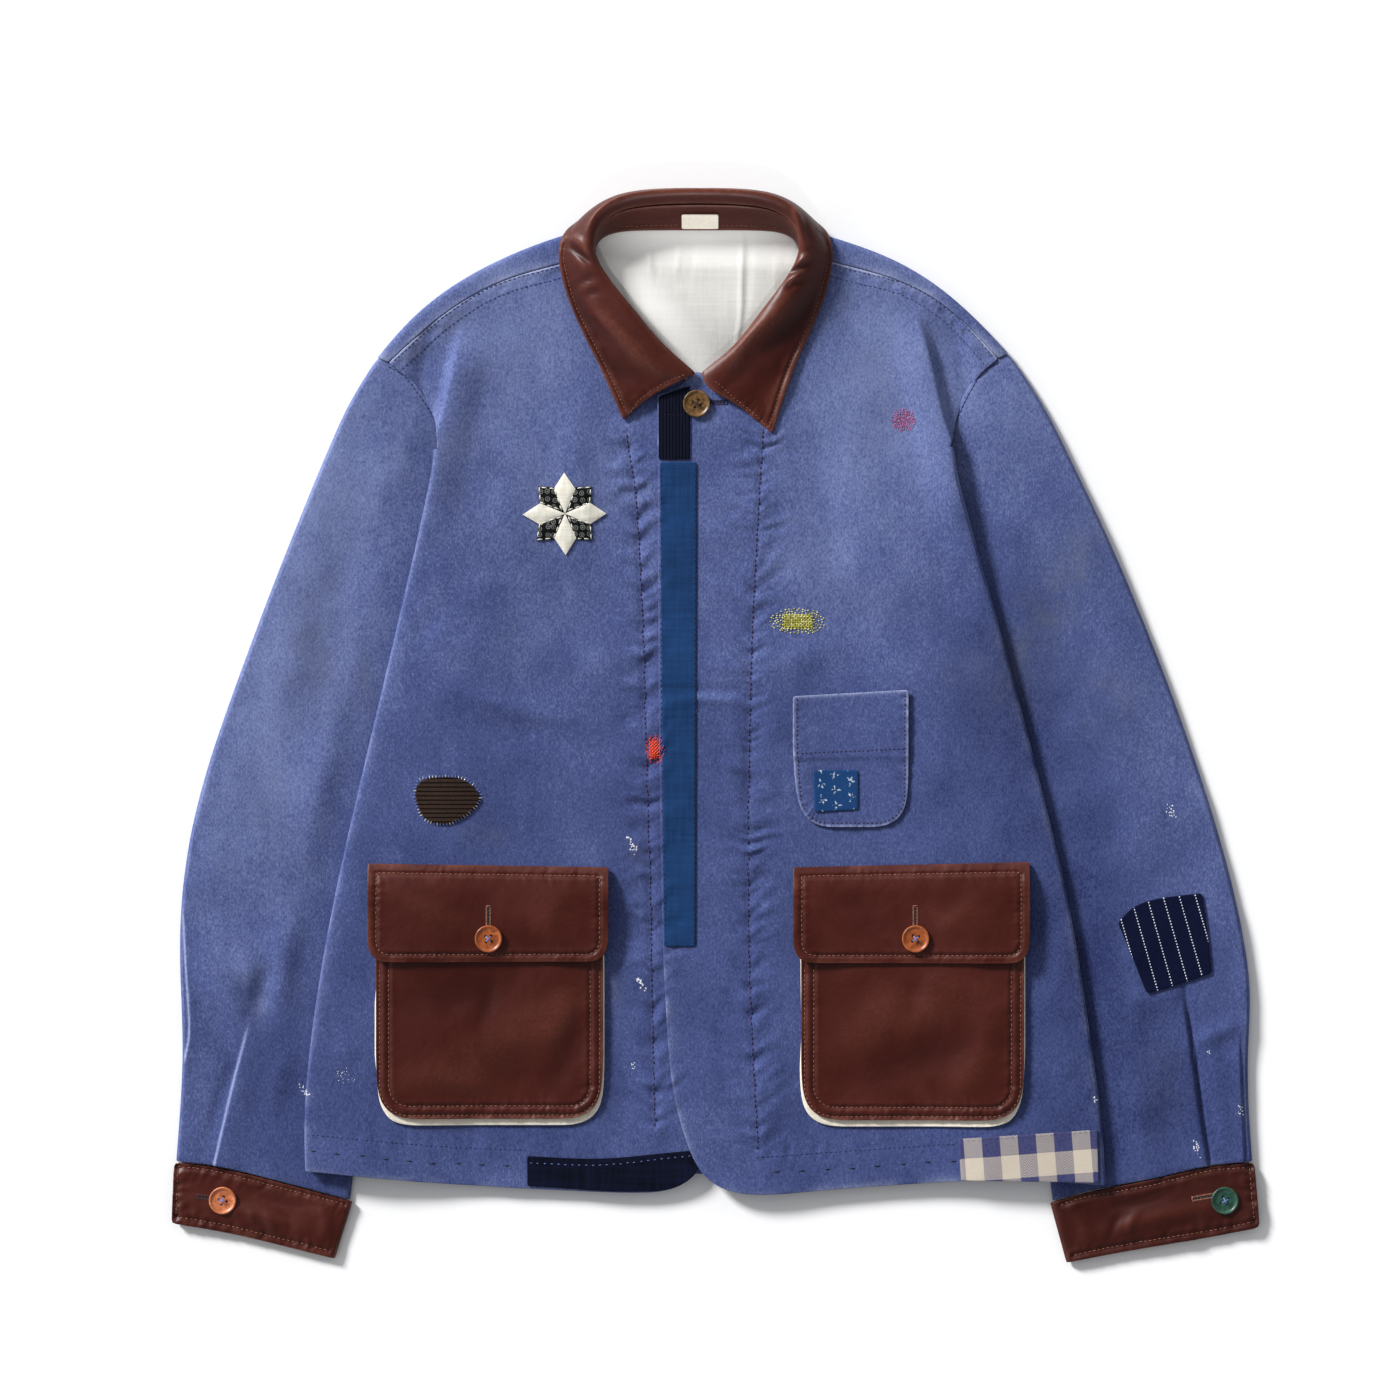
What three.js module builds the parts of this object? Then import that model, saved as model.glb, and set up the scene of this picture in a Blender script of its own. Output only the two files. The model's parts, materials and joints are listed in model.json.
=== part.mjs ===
import * as THREE from 'three';

// A patched moleskin work jacket laid flat on its back and buttoned at the neck.
// Millimetres, +Z up from the table, +Y towards the collar, the wearer's right at -X.

// Walls and clearances
const clothThickness = 1.6;
const liningThickness = 1.0;
const patchThickness = 1.0;
const leatherThickness = 1.6;
const collarThickness = 2.2;
const seamGap = 0.45;
const layGap = 0.75;
const rimGap = 0.6; // from the middle of a side seam to each rolled edge
const tableMiddle = clothThickness / 2;
const bodyDepth = 6.6; // middle of the back wall to middle of the front wall
const tuckLift = 4.8; // the body climbs this far over the sleeves tucked under it
const tuckedSleeveTop = 3.6;
const openSleeveRise = 3.0;
const frontLapLift = 2.1; // left front over right front
const hemLapLift = 1.8; // more lap over the bound hem corner
const tuckFade = [24, 100]; // inwards from the tucked sleeve's edge, from full lift to none
const chestFullness = { rise: 2.2, halfWidth: 95, halfLength: 170 };
const armholeFold = { rise: 3.6, outside: 9, inside: 26, foot: 110, full: 240, head: 310 };
const cuffPleat = { rise: 1.8, halfWidth: 9 };
const cuffUnderLap = 2.9; // middle of the cuff's lapped under end
const cuffUpper = 5.1; // middle of its upper layer
const neckCentre = -11;

// Grid spans
const shoulderSpans = 5;
const neckSpans = 6;
const sideSpans = 13;
const armholeSpans = 4;
const underarmSpans = 3;
const backNeckSpans = 6;
const sleeveSpans = 15;

// Plan outlines of each half, as [x, y] points
const right = {
  sign: -1,
  sideEdge: [[-302, -328], [-303, -284], [-294, -202], [-278, -114], [-254, -10], [-233, 79], [-215, 157],
    [-205, 204]],
  backSideTop: 130,
  armholeCap: [-250, 271],
  armhole: [[-242, 267], [-228, 258], [-210, 233], [-203, 219]],
  underarm: [[-203, 219], [-195, 178], [-193, 138]],
  ridge: [[-188, 305], [-198, 248], [-206, 204], [-216, 157], [-228, 105]],
  shoulderFold: [[-249.5, 272.5], [-219.5, 307.5], [-181.5, 334], [-146, 351], [-116, 362], [-88, 370]],
  shoulderSeam: [[-241.5, 268.8], [-205, 302], [-165, 327], [-118, 341], [-88, 348]],
  hem: [[-302, -328], [-204, -337], [-71, -344], [-29, -343], [-12, -332]],
  centreEdge: [[-12, -332], [5, -284], [13, -202], [14, -54], [14, 242]],
  neckline: [[-88, 347], [-84, 324], [-65, 296], [-41, 267], [-11, 250], [14, 242]],
  sleeveOuter: [[-250, 271], [-264.5, 253], [-276, 227], [-313, 138], [-347, 49], [-378, -40], [-391, -99],
    [-396, -158], [-392.5, -235], [-398, -323]],
  sleeveInner: [[-193, 138], [-220, 5], [-251, -195], [-268, -350]],
  cuffTop: [[-400, -322], [-370, -325], [-307, -341], [-269, -351]],
  cuffBottom: [[-402, -367], [-359, -374], [-318, -384], [-282, -393]],
  pleat: [[-341, -232], [-370, -321]],
  fullnessCentre: [-140, 40],
};
const left = {
  sign: 1,
  sideEdge: [[287, -338], [285, -298], [276, -232], [262, -141], [240, -47], [219, 34], [199, 108],
    [179, 179], [172, 206]],
  backSideTop: 126,
  armholeCap: [217, 274],
  armhole: [[209, 270], [194, 259], [179, 231], [172, 209]],
  underarm: [[172, 209], [167, 170], [165, 134]],
  ridge: [[148, 316], [159, 273], [168, 226], [177, 183], [192, 130], [201, 95]],
  shoulderFold: [[216, 275.5], [177, 316], [137, 343], [88, 361], [63, 368]],
  shoulderSeam: [[208.5, 271.8], [177, 306], [142, 328], [101, 339], [63, 350]],
  hem: [[287, -338], [218, -334], [107, -340], [22, -346], [5, -343], [-11, -333]],
  centreEdge: [[-11, -333], [-29, -284], [-37, -202], [-41, -54], [-43, 245]],
  neckline: [[63, 349], [60, 324], [43, 296], [18, 265], [-14, 250], [-43, 245]],
  sleeveOuter: [[217, 274], [233.5, 253], [247, 227], [290, 138], [327, 49], [359, -40], [384, -128],
    [396, -203], [392.5, -234], [393, -285], [395, -321]],
  sleeveInner: [[165, 134], [199, 5], [231, -195], [248, -351]],
  cuffTop: [[398, -322], [364, -325], [319, -336], [274, -344], [248, -352]],
  cuffBottom: [[402, -370], [374, -376], [330, -383], [285, -391], [260, -396]],
  pleat: [[344, -206], [364, -325]],
  fullnessCentre: [115, 40],
};

// Collar rails from a front end round to the back of the neck: [out from the neck centre, y, z]
const neckSeam = [[8, 252.5, 7.4], [30, 268, 7.2], [54, 297.5, 7], [74.5, 323, 9], [79.5, 346, 10.8],
  [75, 360, 8.4], [60, 366, 4], [34, 367, 3.9], [0, 367, 3.9]];
const standTop = [[6, 256.5, 12.2], [31, 275.5, 15], [54.5, 304.5, 17.5], [76, 331.5, 19], [80, 352, 20.4],
  [75.5, 367.5, 22], [60, 379, 23.5], [35, 383, 24], [0, 384, 24]];
const rollInside = [[4, 260, 14.2], [29, 281, 18], [52.5, 310, 21], [75, 338, 23], [79, 356.5, 24.8],
  [74, 371.5, 26.4], [59, 382.5, 27.8], [35, 387, 28.3], [0, 388, 28.3]];
const rollCrest = [[9, 257, 16.4], [33, 279, 20.4], [57, 307, 23.4], [79, 336, 25.4], [84, 357, 27.4],
  [78, 375.5, 29.2], [61, 387.5, 30.2], [36, 392, 30.6], [0, 393, 30.6]];
const fallMiddle = [[32, 246, 14.4], [53, 267, 15.8], [76, 303, 17.4], [91.5, 338, 19], [93, 360, 20.4],
  [84, 377, 19], [64.5, 389.5, 18], [39, 394.5, 17], [0, 394.5, 17]];
const fallHeel = [[46, 236, 12], [64, 265, 12.4], [86, 306, 13], [99, 341, 14], [98.5, 361, 13.6],
  [88, 375, 9], [67, 389, 6], [40, 394, 4.6], [0, 394, 4.6]];
const fallEdge = [[57, 226, 10.6], [73, 263, 10.4], [95, 308, 10.2], [104.5, 342, 10.2], [102.5, 360, 10.8],
  [93, 371.5, 4.8], [70, 380, 1.8], [37, 379, 1.3], [0, 378, 1.3]];
const collarReach = { right: 1, left: 0.93 }; // the left leaf spreads a little less
const leftEndDrop = new Map([[rollCrest, 5], [fallMiddle, 11], [fallHeel, 12], [fallEdge, 10]]);
const collarSpans = 13; // on each side of the back centre
const stationsOnFront = 3;

// Pockets, patches and buttons
const pockets = {
  right: { bag: [-250, -83, -289, -119], flap: [-256, -79, -173, -101], tilt: -3 },
  left: { bag: [63, 227, -290, -119], flap: [57, 231, -174, -104], tilt: 4 },
};
const pocketColumns = 9;
const pocketRows = 4;
const pocketCorner = 24;
const flapCorner = 13;
const pocketBulge = 2.4;
const backingMargin = { side: 1, foot: 5 };
const breastPocket = { box: [57, 142, -74, 27], corner: 22 };
const starCentre = [-111, 157];
const starPoints = [[0, 31], [27, 20], [45, 29], [63, 20]]; // a quarter of it: degrees, reach
const buttonRadius = 10;
const buttonThickness = 3.4;
const buttonHoleRadius = 1.1;
const buttonHoleOffset = 2;

const colours = {
  moleskin: 0x525c8d,
  leather: 0x4b2520,
  linen: 0xe0deda,
  canvas: 0xe6dfd2,
  label: 0xe4dcce,
  corduroy: 0x0e1327,
  teal: 0x24416f,
  binding: 0x0f1428,
  check: 0x9c96a0,
  star: 0xe0ddd0,
  tweed: 0x2c2120,
  pinstripe: 0x1a203c,
  floral: 0x304f7c,
  hornButton: 0x8a6a38,
  tanButton: 0xb5652f,
  greenButton: 0x3c5e4e,
};

const { smoothstep, lerp } = THREE.MathUtils;
const point = (x, y, z = 0) => new THREE.Vector3(x, y, z);

// A smooth plan curve through the given points, as evenly spaced samples
function smooth(outline, spans) {
  const curve = new THREE.CatmullRomCurve3(outline.map(([x, y, z]) => point(x, y, z)), false, 'centripetal');
  return curve.getSpacedPoints(spans);
}

// x of a plan curve at a height y
function crossing(outline, y) {
  const line = smooth(outline, 40);
  const rising = line[0].y < line[40].y;
  const ordered = rising ? line : line.reverse();
  const above = ordered.findIndex((p) => p.y >= y);
  if (above === -1) return ordered[40].x;
  if (above === 0) return ordered[0].x;
  const [low, high] = [ordered[above - 1], ordered[above]];
  return lerp(low.x, high.x, (y - low.y) / (high.y - low.y));
}

// How far the tucked sleeve lifts the body: full over its hidden edge, fading inwards
function lift(side, x, y) {
  const [pitX, pitY] = side.sleeveInner[0];
  const inward = ((y > pitY ? pitX : crossing(side.sleeveInner, y)) - x) * side.sign;
  const distance = y > pitY ? Math.hypot(Math.max(inward, 0), y - pitY) : inward;
  return tuckLift * (1 - smoothstep(distance, ...tuckFade));
}

function backSurface(x, y) {
  return tableMiddle + lift(x < neckCentre ? right : left, x, y);
}

// The front lies on the back, full over the chest, with a soft fold beside each armhole
function restingFront(x, y) {
  const side = x < neckCentre ? right : left;
  const [fullX, fullY] = side.fullnessCentre;
  const { rise, halfWidth, halfLength } = chestFullness;
  const fullness = rise * Math.exp(-(((x - fullX) / halfWidth) ** 2) - ((y - fullY) / halfLength) ** 2);
  const fold = armholeFold;
  const fromRidge = (x - crossing(side.ridge, y)) * side.sign;
  const ridgeWidth = fromRidge > 0 ? fold.outside : fold.inside;
  const below = smoothstep(y, fold.foot, fold.full);
  const ridgeRise = fold.rise * below * (1 - smoothstep(y, fold.full, fold.head));
  const ridge = ridgeRise * Math.exp(-((fromRidge / ridgeWidth) ** 2));
  return backSurface(x, y) + bodyDepth + fullness + ridge;
}

function lappedFront(x, y) {
  const lap = frontLapLift * (1 - smoothstep(x, 40, 90)) * (1 - smoothstep(y, 262, 330));
  const hemLap = hemLapLift * (1 - smoothstep(x, 20, 60)) * (1 - smoothstep(y, -270, -210));
  return restingFront(x, y) + lap + hemLap;
}

// Upper wall of a sleeve: pressed flat under the body, fuller in the open, with a pleat at the cuff
function sleeveSurface(side) {
  const coverLine = [...side.sideEdge, [side.sideEdge.at(-1)[0] - side.sign * 30, 300]];
  const [pleatTop, pleatFoot] = side.pleat;
  return (x, y) => {
    const outward = (x - crossing(coverLine, y)) * side.sign;
    const open = smoothstep(outward, 2, 34);
    const fade = smoothstep(pleatTop[1] - y, 0, 60);
    const fromPleat = x - lerp(pleatTop[0], pleatFoot[0], (pleatTop[1] - y) / (pleatTop[1] - pleatFoot[1]));
    const pleat = cuffPleat.rise * fade * Math.exp(-((fromPleat / cuffPleat.halfWidth) ** 2));
    return tuckedSleeveTop + open * (openSleeveRise * (1 - 0.45 * smoothstep(-y, 240, 330)) + pleat);
  };
}

// Fractions of the way along a row of points
function fractions(row) {
  const sums = [0];
  for (let i = 1; i < row.length; i += 1) sums.push(sums[i - 1] + row[i].distanceTo(row[i - 1]));
  return sums.map((sum) => sum / sums.at(-1));
}

// A plan patch spanned between four edges that share their corners
function span(bottom, top, start, end) {
  const across = fractions(bottom);
  const along = fractions(start);
  return along.map((v, j) => across.map((u, i) => {
    const ruled = bottom[i].clone().lerp(top[i], v).add(start[j].clone().lerp(end[j], u));
    const low = bottom[0].clone().lerp(bottom.at(-1), u);
    const high = top[0].clone().lerp(top.at(-1), u);
    return ruled.sub(low.lerp(high, v));
  }));
}

function raise(rows, surface, height = 0) {
  for (const p of rows.flat()) p.z = surface(p.x, p.y) + height;
  return rows;
}

// A sheet is a list of points and faces; rows of points give a grid, or a tube if closed
function sheet(rows, closed = false) {
  const columns = rows[0].length;
  const faces = [];
  for (let j = 0; j + 1 < rows.length; j += 1) {
    for (let i = 0; i < (closed ? columns : columns - 1); i += 1) {
      const next = (i + 1) % columns;
      faces.push([j * columns + i, j * columns + next, (j + 1) * columns + next, (j + 1) * columns + i]);
    }
  }
  return { points: rows.flat(), faces };
}

// Carries a sheet on past part of its edge, row by row
function extend(base, edge, rows) {
  const follows = (face, k) => face[k] === edge[0] && face[(k + 1) % face.length] === edge[1];
  const runsWith = base.faces.some((face) => face.some((a, k) => follows(face, k)));
  let previous = edge;
  for (const row of rows) {
    const added = row.map((p) => base.points.push(p) - 1);
    for (let i = 0; i + 1 < edge.length; i += 1) {
      const face = [previous[i], previous[i + 1], added[i + 1], added[i]];
      base.faces.push(runsWith ? face.reverse() : face);
    }
    previous = added;
  }
}

// A patch filled from its middle: rings of one outline, shrinking to a point
function disc(outline, rings) {
  const middle = outline.reduce((sum, p) => sum.add(p), point(0, 0)).divideScalar(outline.length);
  const points = [middle];
  const faces = [];
  const count = outline.length;
  for (let ring = 1; ring <= rings; ring += 1) {
    outline.forEach((p, i) => {
      points.push(middle.clone().lerp(p, ring / rings));
      const next = (i + 1) % count;
      const outer = (ring - 1) * count + 1;
      const inner = outer - count;
      const back = ring === 1 ? [0] : [inner + next, inner + i];
      faces.push([...back, outer + i, outer + next]);
    });
  }
  return { points, faces };
}

// Gives a sheet its thickness: half to each side, closed along its free edges
function wall({ points, faces }, thickness) {
  const normals = points.map(() => point(0, 0));
  const used = new Set();
  for (const face of faces) {
    const normal = point(0, 0);
    face.forEach((a, k) => {
      const b = face[(k + 1) % face.length];
      normal.add(points[a].clone().sub(points[face[0]]).cross(points[b].clone().sub(points[face[0]])));
      used.add(`${a},${b}`);
    });
    face.forEach((a) => normals[a].add(normal));
  }
  const positions = [];
  for (const offset of [thickness / 2, -thickness / 2]) {
    points.forEach((p, i) => positions.push(...p.clone().addScaledVector(normals[i].normalize(), offset)));
  }
  const under = points.length;
  const triangles = [];
  const fill = ([a, b, c, d]) => {
    triangles.push(a, b, c);
    if (d !== undefined) triangles.push(a, c, d);
  };
  for (const face of faces) {
    fill(face);
    const [a, b, c, d] = face.map((index) => index + under);
    triangles.push(a, c, b);
    if (d !== undefined) triangles.push(a, d, c);
    face.forEach((start, k) => {
      const end = face[(k + 1) % face.length];
      if (!used.has(`${end},${start}`)) fill([end, start, start + under, end + under]);
    });
  }
  const geometry = new THREE.BufferGeometry();
  geometry.setAttribute('position', new THREE.Float32BufferAttribute(positions, 3));
  geometry.setIndex(triangles);
  geometry.computeVertexNormals();
  return geometry;
}

const shifted = (row, x, y) => row.map((p) => point(p.x + x, p.y + y, p.z));

// Back: flat on the table, curling up at the side seams and wrapping over the shoulders
function backPanel() {
  const halves = [right, left].map((side) => {
    const seam = smooth(side.shoulderSeam, shoulderSpans);
    const fold = smooth(side.shoulderFold, shoulderSpans);
    const wrap = fold.map((p, i) => {
      const outward = p.clone().sub(seam[i]).normalize();
      const seamHeight = restingFront(seam[i].x, seam[i].y);
      const radius = (seamHeight - tableMiddle) / 2;
      const turn = (angle) => {
        const q = p.clone().addScaledVector(outward, radius * (Math.sin(angle) - 1));
        return q.setZ(tableMiddle + radius * (1 - Math.cos(angle)));
      };
      const arc = [0, 0.25, 0.5, 0.75, 1].map((part) => turn(part * Math.PI));
      const end = seam[i].clone().setZ(seamHeight);
      return [...arc, arc[4].clone().lerp(end, 0.5), end];
    });
    const edge = smooth(side.sideEdge, sideSpans).filter((p) => p.y < side.backSideTop);
    const depth = edge.map((p) => (restingFront(p.x, p.y) - backSurface(p.x, p.y)) / 2);
    const inset = edge.map((p, i) => point(p.x - side.sign * depth[i], p.y));
    const armhole = [...smooth(side.armhole, armholeSpans), ...smooth(side.underarm, underarmSpans).slice(1)];
    const opening = shifted(armhole.reverse(), -side.sign * 1.5 * seamGap, 1.5 * seamGap);
    return { side, wrap, edge, depth, boundary: [...inset, ...opening, wrap[0][0].clone()] };
  });
  const [rightHalf, leftHalf] = halves;
  const [neckStart, neckEnd] = halves.map(({ wrap }) => [wrap.at(-1)[0].x, wrap.at(-1)[0].y]);
  const neck = smooth([neckStart, [-60, 367], [neckCentre, 366], [37, 367], neckEnd], backNeckSpans);
  const top = [...rightHalf.wrap.map((column) => column[0]), ...neck.slice(1, -1),
    ...leftHalf.wrap.map((column) => column[0]).reverse()];
  const [hemStart, hemEnd] = halves.map(({ boundary }) => boundary[0].x);
  const hem = smooth([[hemStart, -327], [neckCentre, -331], [hemEnd, -336]], top.length - 1);
  rightHalf.boundary[0] = hem[0].clone();
  leftHalf.boundary[0] = hem.at(-1).clone();
  const rows = raise(span(hem, top, rightHalf.boundary, leftHalf.boundary), backSurface);
  top.forEach((p, i) => rows.at(-1)[i].copy(p));
  rows.at(-1).forEach((p) => p.setZ(tableMiddle));
  const back = sheet(rows);
  const columns = top.length;
  const lastRow = (rows.length - 1) * columns;
  for (const { side, wrap, edge, depth } of halves) {
    const column = side === right ? 0 : columns - 1;
    const curl = [0.5, 1].map((part) => edge.map((p, j) => {
      const base = rows[j][column];
      const radius = depth[j] - rimGap;
      const angle = part * Math.PI / 2;
      const rise = radius * (1 - Math.cos(angle));
      return point(base.x + side.sign * radius * Math.sin(angle), base.y, base.z + rise);
    }));
    extend(back, edge.map((p, j) => j * columns + column), curl);
    const start = side === right ? lastRow : lastRow + columns - 1;
    const shoulder = wrap.map((p, i) => start - side.sign * i);
    const wrapRows = wrap[0].slice(1).map((p, k) => wrap.map((stations) => stations[k + 1]));
    extend(back, shoulder, wrapRows);
  }
  return wall(back, clothThickness);
}

// Front: side edge rolled down to the side seam, armhole, shoulder seam, neckline and centre edge
function frontPanel(side, surface) {
  const seam = shifted(smooth(side.shoulderSeam, shoulderSpans), 0, -seamGap);
  const neck = smooth(side.neckline, neckSpans);
  const top = [...seam, ...neck.slice(1)];
  const edge = smooth(side.sideEdge, sideSpans);
  const radii = edge.map((p, j) => {
    const depth = (surface(p.x, p.y) - backSurface(p.x, p.y)) / 2 - rimGap;
    return j === sideSpans ? depth / 2 : depth;
  });
  const armhole = smooth(side.armhole, armholeSpans).reverse().slice(0, -1);
  const boundary = [...edge.map((p, j) => point(p.x - side.sign * radii[j], p.y)),
    ...shifted(armhole, -side.sign * seamGap, seamGap), seam[0].clone()];
  const hem = smooth([[boundary[0].x, boundary[0].y], ...side.hem.slice(1)], top.length - 1);
  const centre = smooth(side.centreEdge, boundary.length - 1);
  centre[0] = hem.at(-1).clone();
  centre[centre.length - 1] = top.at(-1).clone();
  boundary[0] = hem[0].clone();
  const rows = raise(span(hem, top, boundary, centre), surface);
  const front = sheet(rows);
  const curl = [0.5, 1].map((part) => edge.map((p, j) => {
    const base = rows[j][0];
    const angle = part * Math.PI / 2;
    const fall = radii[j] * (1 - Math.cos(angle));
    return point(base.x + side.sign * radii[j] * Math.sin(angle), base.y, base.z - fall);
  }));
  extend(front, edge.map((p, j) => j * top.length), curl);
  return wall(front, clothThickness);
}

// Sleeve: a flattened tube from the armhole to the cuff, its under wall on the table
function sleeve(side) {
  const surface = sleeveSurface(side);
  const roundWidth = 1.7;
  const cap = point(...side.armholeCap);
  const visible = smooth(side.armhole, armholeSpans);
  const hidden = smooth(side.underarm, underarmSpans).slice(1);
  const pit = hidden.at(-1);
  const nearCap = cap.clone().lerp(visible[0], roundWidth / cap.distanceTo(visible[0]));
  const nearPit = pit.clone().lerp(hidden.at(-2), roundWidth / pit.distanceTo(hidden.at(-2)));
  const armhole = [cap, nearCap, ...visible, ...hidden.slice(0, -1), nearPit, pit];
  const cuffCurve = new THREE.CatmullRomCurve3(side.cuffTop.map(([x, y]) => point(x, y + 2 * seamGap)));
  const trim = 2; // the cuff stands a little wider than the sleeve
  const cuffLength = cuffCurve.getLength();
  const cuffEnd = fractions(armhole)
    .map((part) => cuffCurve.getPointAt(lerp(trim / cuffLength, 1 - trim / cuffLength, part)));
  const outer = smooth([...side.sleeveOuter.slice(0, -1), [cuffEnd[0].x, cuffEnd[0].y]], sleeveSpans);
  const inner = smooth([...side.sleeveInner.slice(0, -1), [cuffEnd.at(-1).x, cuffEnd.at(-1).y]], sleeveSpans);
  const plan = span(armhole, cuffEnd, outer, inner);
  const last = armhole.length - 1;
  const rings = plan.map((row) => {
    const half = row.map((p, i) => {
      const full = (surface(p.x, p.y) - tableMiddle) / 2;
      const part = i === 0 || i === last ? 0 : 1;
      return full * (i === 1 || i === last - 1 ? 0.93 : part);
    });
    const middle = row.map((p) => (surface(p.x, p.y) + tableMiddle) / 2);
    const upper = row.map((p, i) => p.clone().setZ(middle[i] + half[i]));
    const lower = row.map((p, i) => p.clone().setZ(middle[i] - half[i])).slice(1, -1).reverse();
    return [...upper, ...lower];
  });
  return wall(sheet(rings, true), clothThickness);
}

// Cuff: one leather band wound round the sleeve end, its upper end lapped over the under end
function cuff(side) {
  const top = new THREE.CatmullRomCurve3(side.cuffTop.map(([x, y]) => point(x, y)));
  const bottom = new THREE.CatmullRomCurve3(side.cuffBottom.map(([x, y]) => point(x, y)));
  const low = tableMiddle;
  const lap = cuffUnderLap;
  const high = cuffUpper;
  const middle = (low + high) / 2;
  const path = [[0.3, lap], [0.16, lap], [0.035, lap], [0.025, (lap + low) / 2], [0.035, low], [0.25, low],
    [0.5, low], [0.75, low], [0.975, low], [0.99, lerp(low, middle, 0.37)], [1, middle],
    [0.99, lerp(high, middle, 0.37)], [0.975, high], [0.75, high], [0.5, high], [0.25, high], [0, high]];
  const rows = [0, 0.5, 1].map((width) => path.map(([along, z]) => (
    top.getPointAt(along).lerp(bottom.getPointAt(along), width).setZ(z))));
  return wall(sheet(rows), leatherThickness);
}

// One collar rail right round the neck, from the right front end to the left
function collarRail(rail) {
  const half = (side, reach, drop) => rail.map(([out, y, z], station) => {
    const p = point(neckCentre + side.sign * out * reach, y - (station === 0 ? drop : 0), z);
    const surface = side === left ? lappedFront : restingFront;
    const clear = surface(p.x, p.y) + (clothThickness + collarThickness) / 2 + layGap;
    if (station <= stationsOnFront && rail !== neckSeam) p.z = Math.max(p.z, clear);
    if (station <= stationsOnFront && rail === neckSeam) p.z = Math.max(p.z, clear - 0.6);
    return p;
  });
  const leftHalf = half(left, collarReach.left, leftEndDrop.get(rail) ?? 0).reverse();
  const stations = [...half(right, collarReach.right, 0), ...leftHalf.slice(1)];
  return new THREE.CatmullRomCurve3(stations, false, 'centripetal').getPoints(2 * collarSpans);
}

function collarStand() {
  const low = collarRail(neckSeam);
  const high = collarRail(standTop);
  const rows = [0, 0.5, 1].map((part) => low.map((p, i) => p.clone().lerp(high[i], part * 0.97)));
  return wall(sheet(rows), leatherThickness);
}

// The fall rises from the stand, rolls over at the crest and drops to its outer edge
function collarFall() {
  const rails = [standTop, rollInside, rollCrest, fallMiddle, fallHeel, fallEdge].map(collarRail);
  const columns = rails[0].map((p, i) => {
    const start = rails[0][i].clone().lerp(rails[1][i], 0.22);
    const stations = [start, ...rails.slice(1).map((rail) => rail[i])];
    return new THREE.CatmullRomCurve3(stations, false, 'centripetal').getPoints(2 * (stations.length - 1));
  });
  return wall(sheet(columns), collarThickness);
}

function neckLabel() {
  const low = collarRail(neckSeam)[collarSpans];
  const high = collarRail(standTop)[collarSpans];
  const up = high.clone().sub(low);
  const inward = point(0, -up.z, up.y).normalize();
  const away = (leatherThickness + patchThickness) / 2 + layGap;
  const rows = [0.12, 0.66].map((part) => [-14, 0, 13].map((x) => {
    const p = low.clone().addScaledVector(up, part).addScaledVector(inward, away);
    return p.setX(neckCentre + x);
  }));
  return wall(sheet(rows), patchThickness);
}

function neckLining() {
  const top = smooth([[-85, 364], [neckCentre, 364.5], [60, 364]], 6);
  const bottom = smooth([[-24, 236], [3, 236]], 6);
  const start = smooth([[-24, 236], [-72, 284], [-93, 325], [-91, 345], [-85, 364]], 8);
  const end = smooth([[3, 236], [50, 284], [68, 325], [66, 345], [60, 364]], 8);
  const height = clothThickness / 2 + layGap + liningThickness / 2;
  return wall(sheet(raise(span(bottom, top, start, end), backSurface, height)), liningThickness);
}

// A box [x0, x1, y0, y1] with round lower corners, as rows from its lower edge up
function roundedBox([x0, x1, y0, y1], corner, columns, rowCount, tilt = 0) {
  const heights = [0, 0.12, 0.42, 1].map((part) => part * corner);
  const upper = Array.from({ length: rowCount }, (unused, j) => lerp(corner, y1 - y0, (j + 1) / rowCount));
  return [...heights, ...upper].map((height) => {
    const inset = height < corner ? corner - Math.sqrt(corner ** 2 - (corner - height) ** 2) : 0;
    return Array.from({ length: columns + 1 }, (unused, i) => {
      const x = lerp(x0 + inset, x1 - inset, i / columns);
      return point(x, y0 + height + tilt * ((x - x0) / (x1 - x0)) * (height / (y1 - y0)));
    });
  });
}

const onCloth = clothThickness / 2 + layGap;
const patchLevel = onCloth + patchThickness / 2;
const bagLevel = patchLevel + patchThickness / 2 + layGap + leatherThickness / 2;
const flapRise = leatherThickness + layGap + pocketBulge;

function pocketBacking({ bag }, surface) {
  const [x0, x1, y0, y1] = bag;
  const { side, foot } = backingMargin;
  const rows = roundedBox([x0 - side, x1 + side, y0 - foot, y1], pocketCorner, pocketColumns, pocketRows);
  return wall(sheet(raise(rows, surface, patchLevel)), patchThickness);
}

function pocketBag({ bag }, surface) {
  const [x0, x1, y0] = bag;
  const bulge = (x, y) => {
    const across = Math.min(x - x0, x1 - x) / 50;
    const along = (y - y0) / 60;
    return pocketBulge * smoothstep(across, 0, 1) * smoothstep(along, 0, 1);
  };
  const lifted = (x, y) => surface(x, y) + bulge(x, y);
  const rows = roundedBox(bag, pocketCorner, pocketColumns, pocketRows);
  return wall(sheet(raise(rows, lifted, bagLevel)), leatherThickness);
}

function pocketFlap({ flap, tilt }, surface) {
  const y1 = flap[3];
  const hinge = onCloth + leatherThickness / 2;
  const lifted = (x, y) => surface(x, y) + lerp(hinge, bagLevel + flapRise, smoothstep(y1 - y, 0, 13));
  const rows = roundedBox(flap, flapCorner, pocketColumns, pocketRows + 1, tilt);
  const level = (row) => row.map((p) => p.clone().setZ(lifted(p.x, p.y - tilt)));
  return wall(sheet(rows.map(level)), leatherThickness);
}

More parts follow.
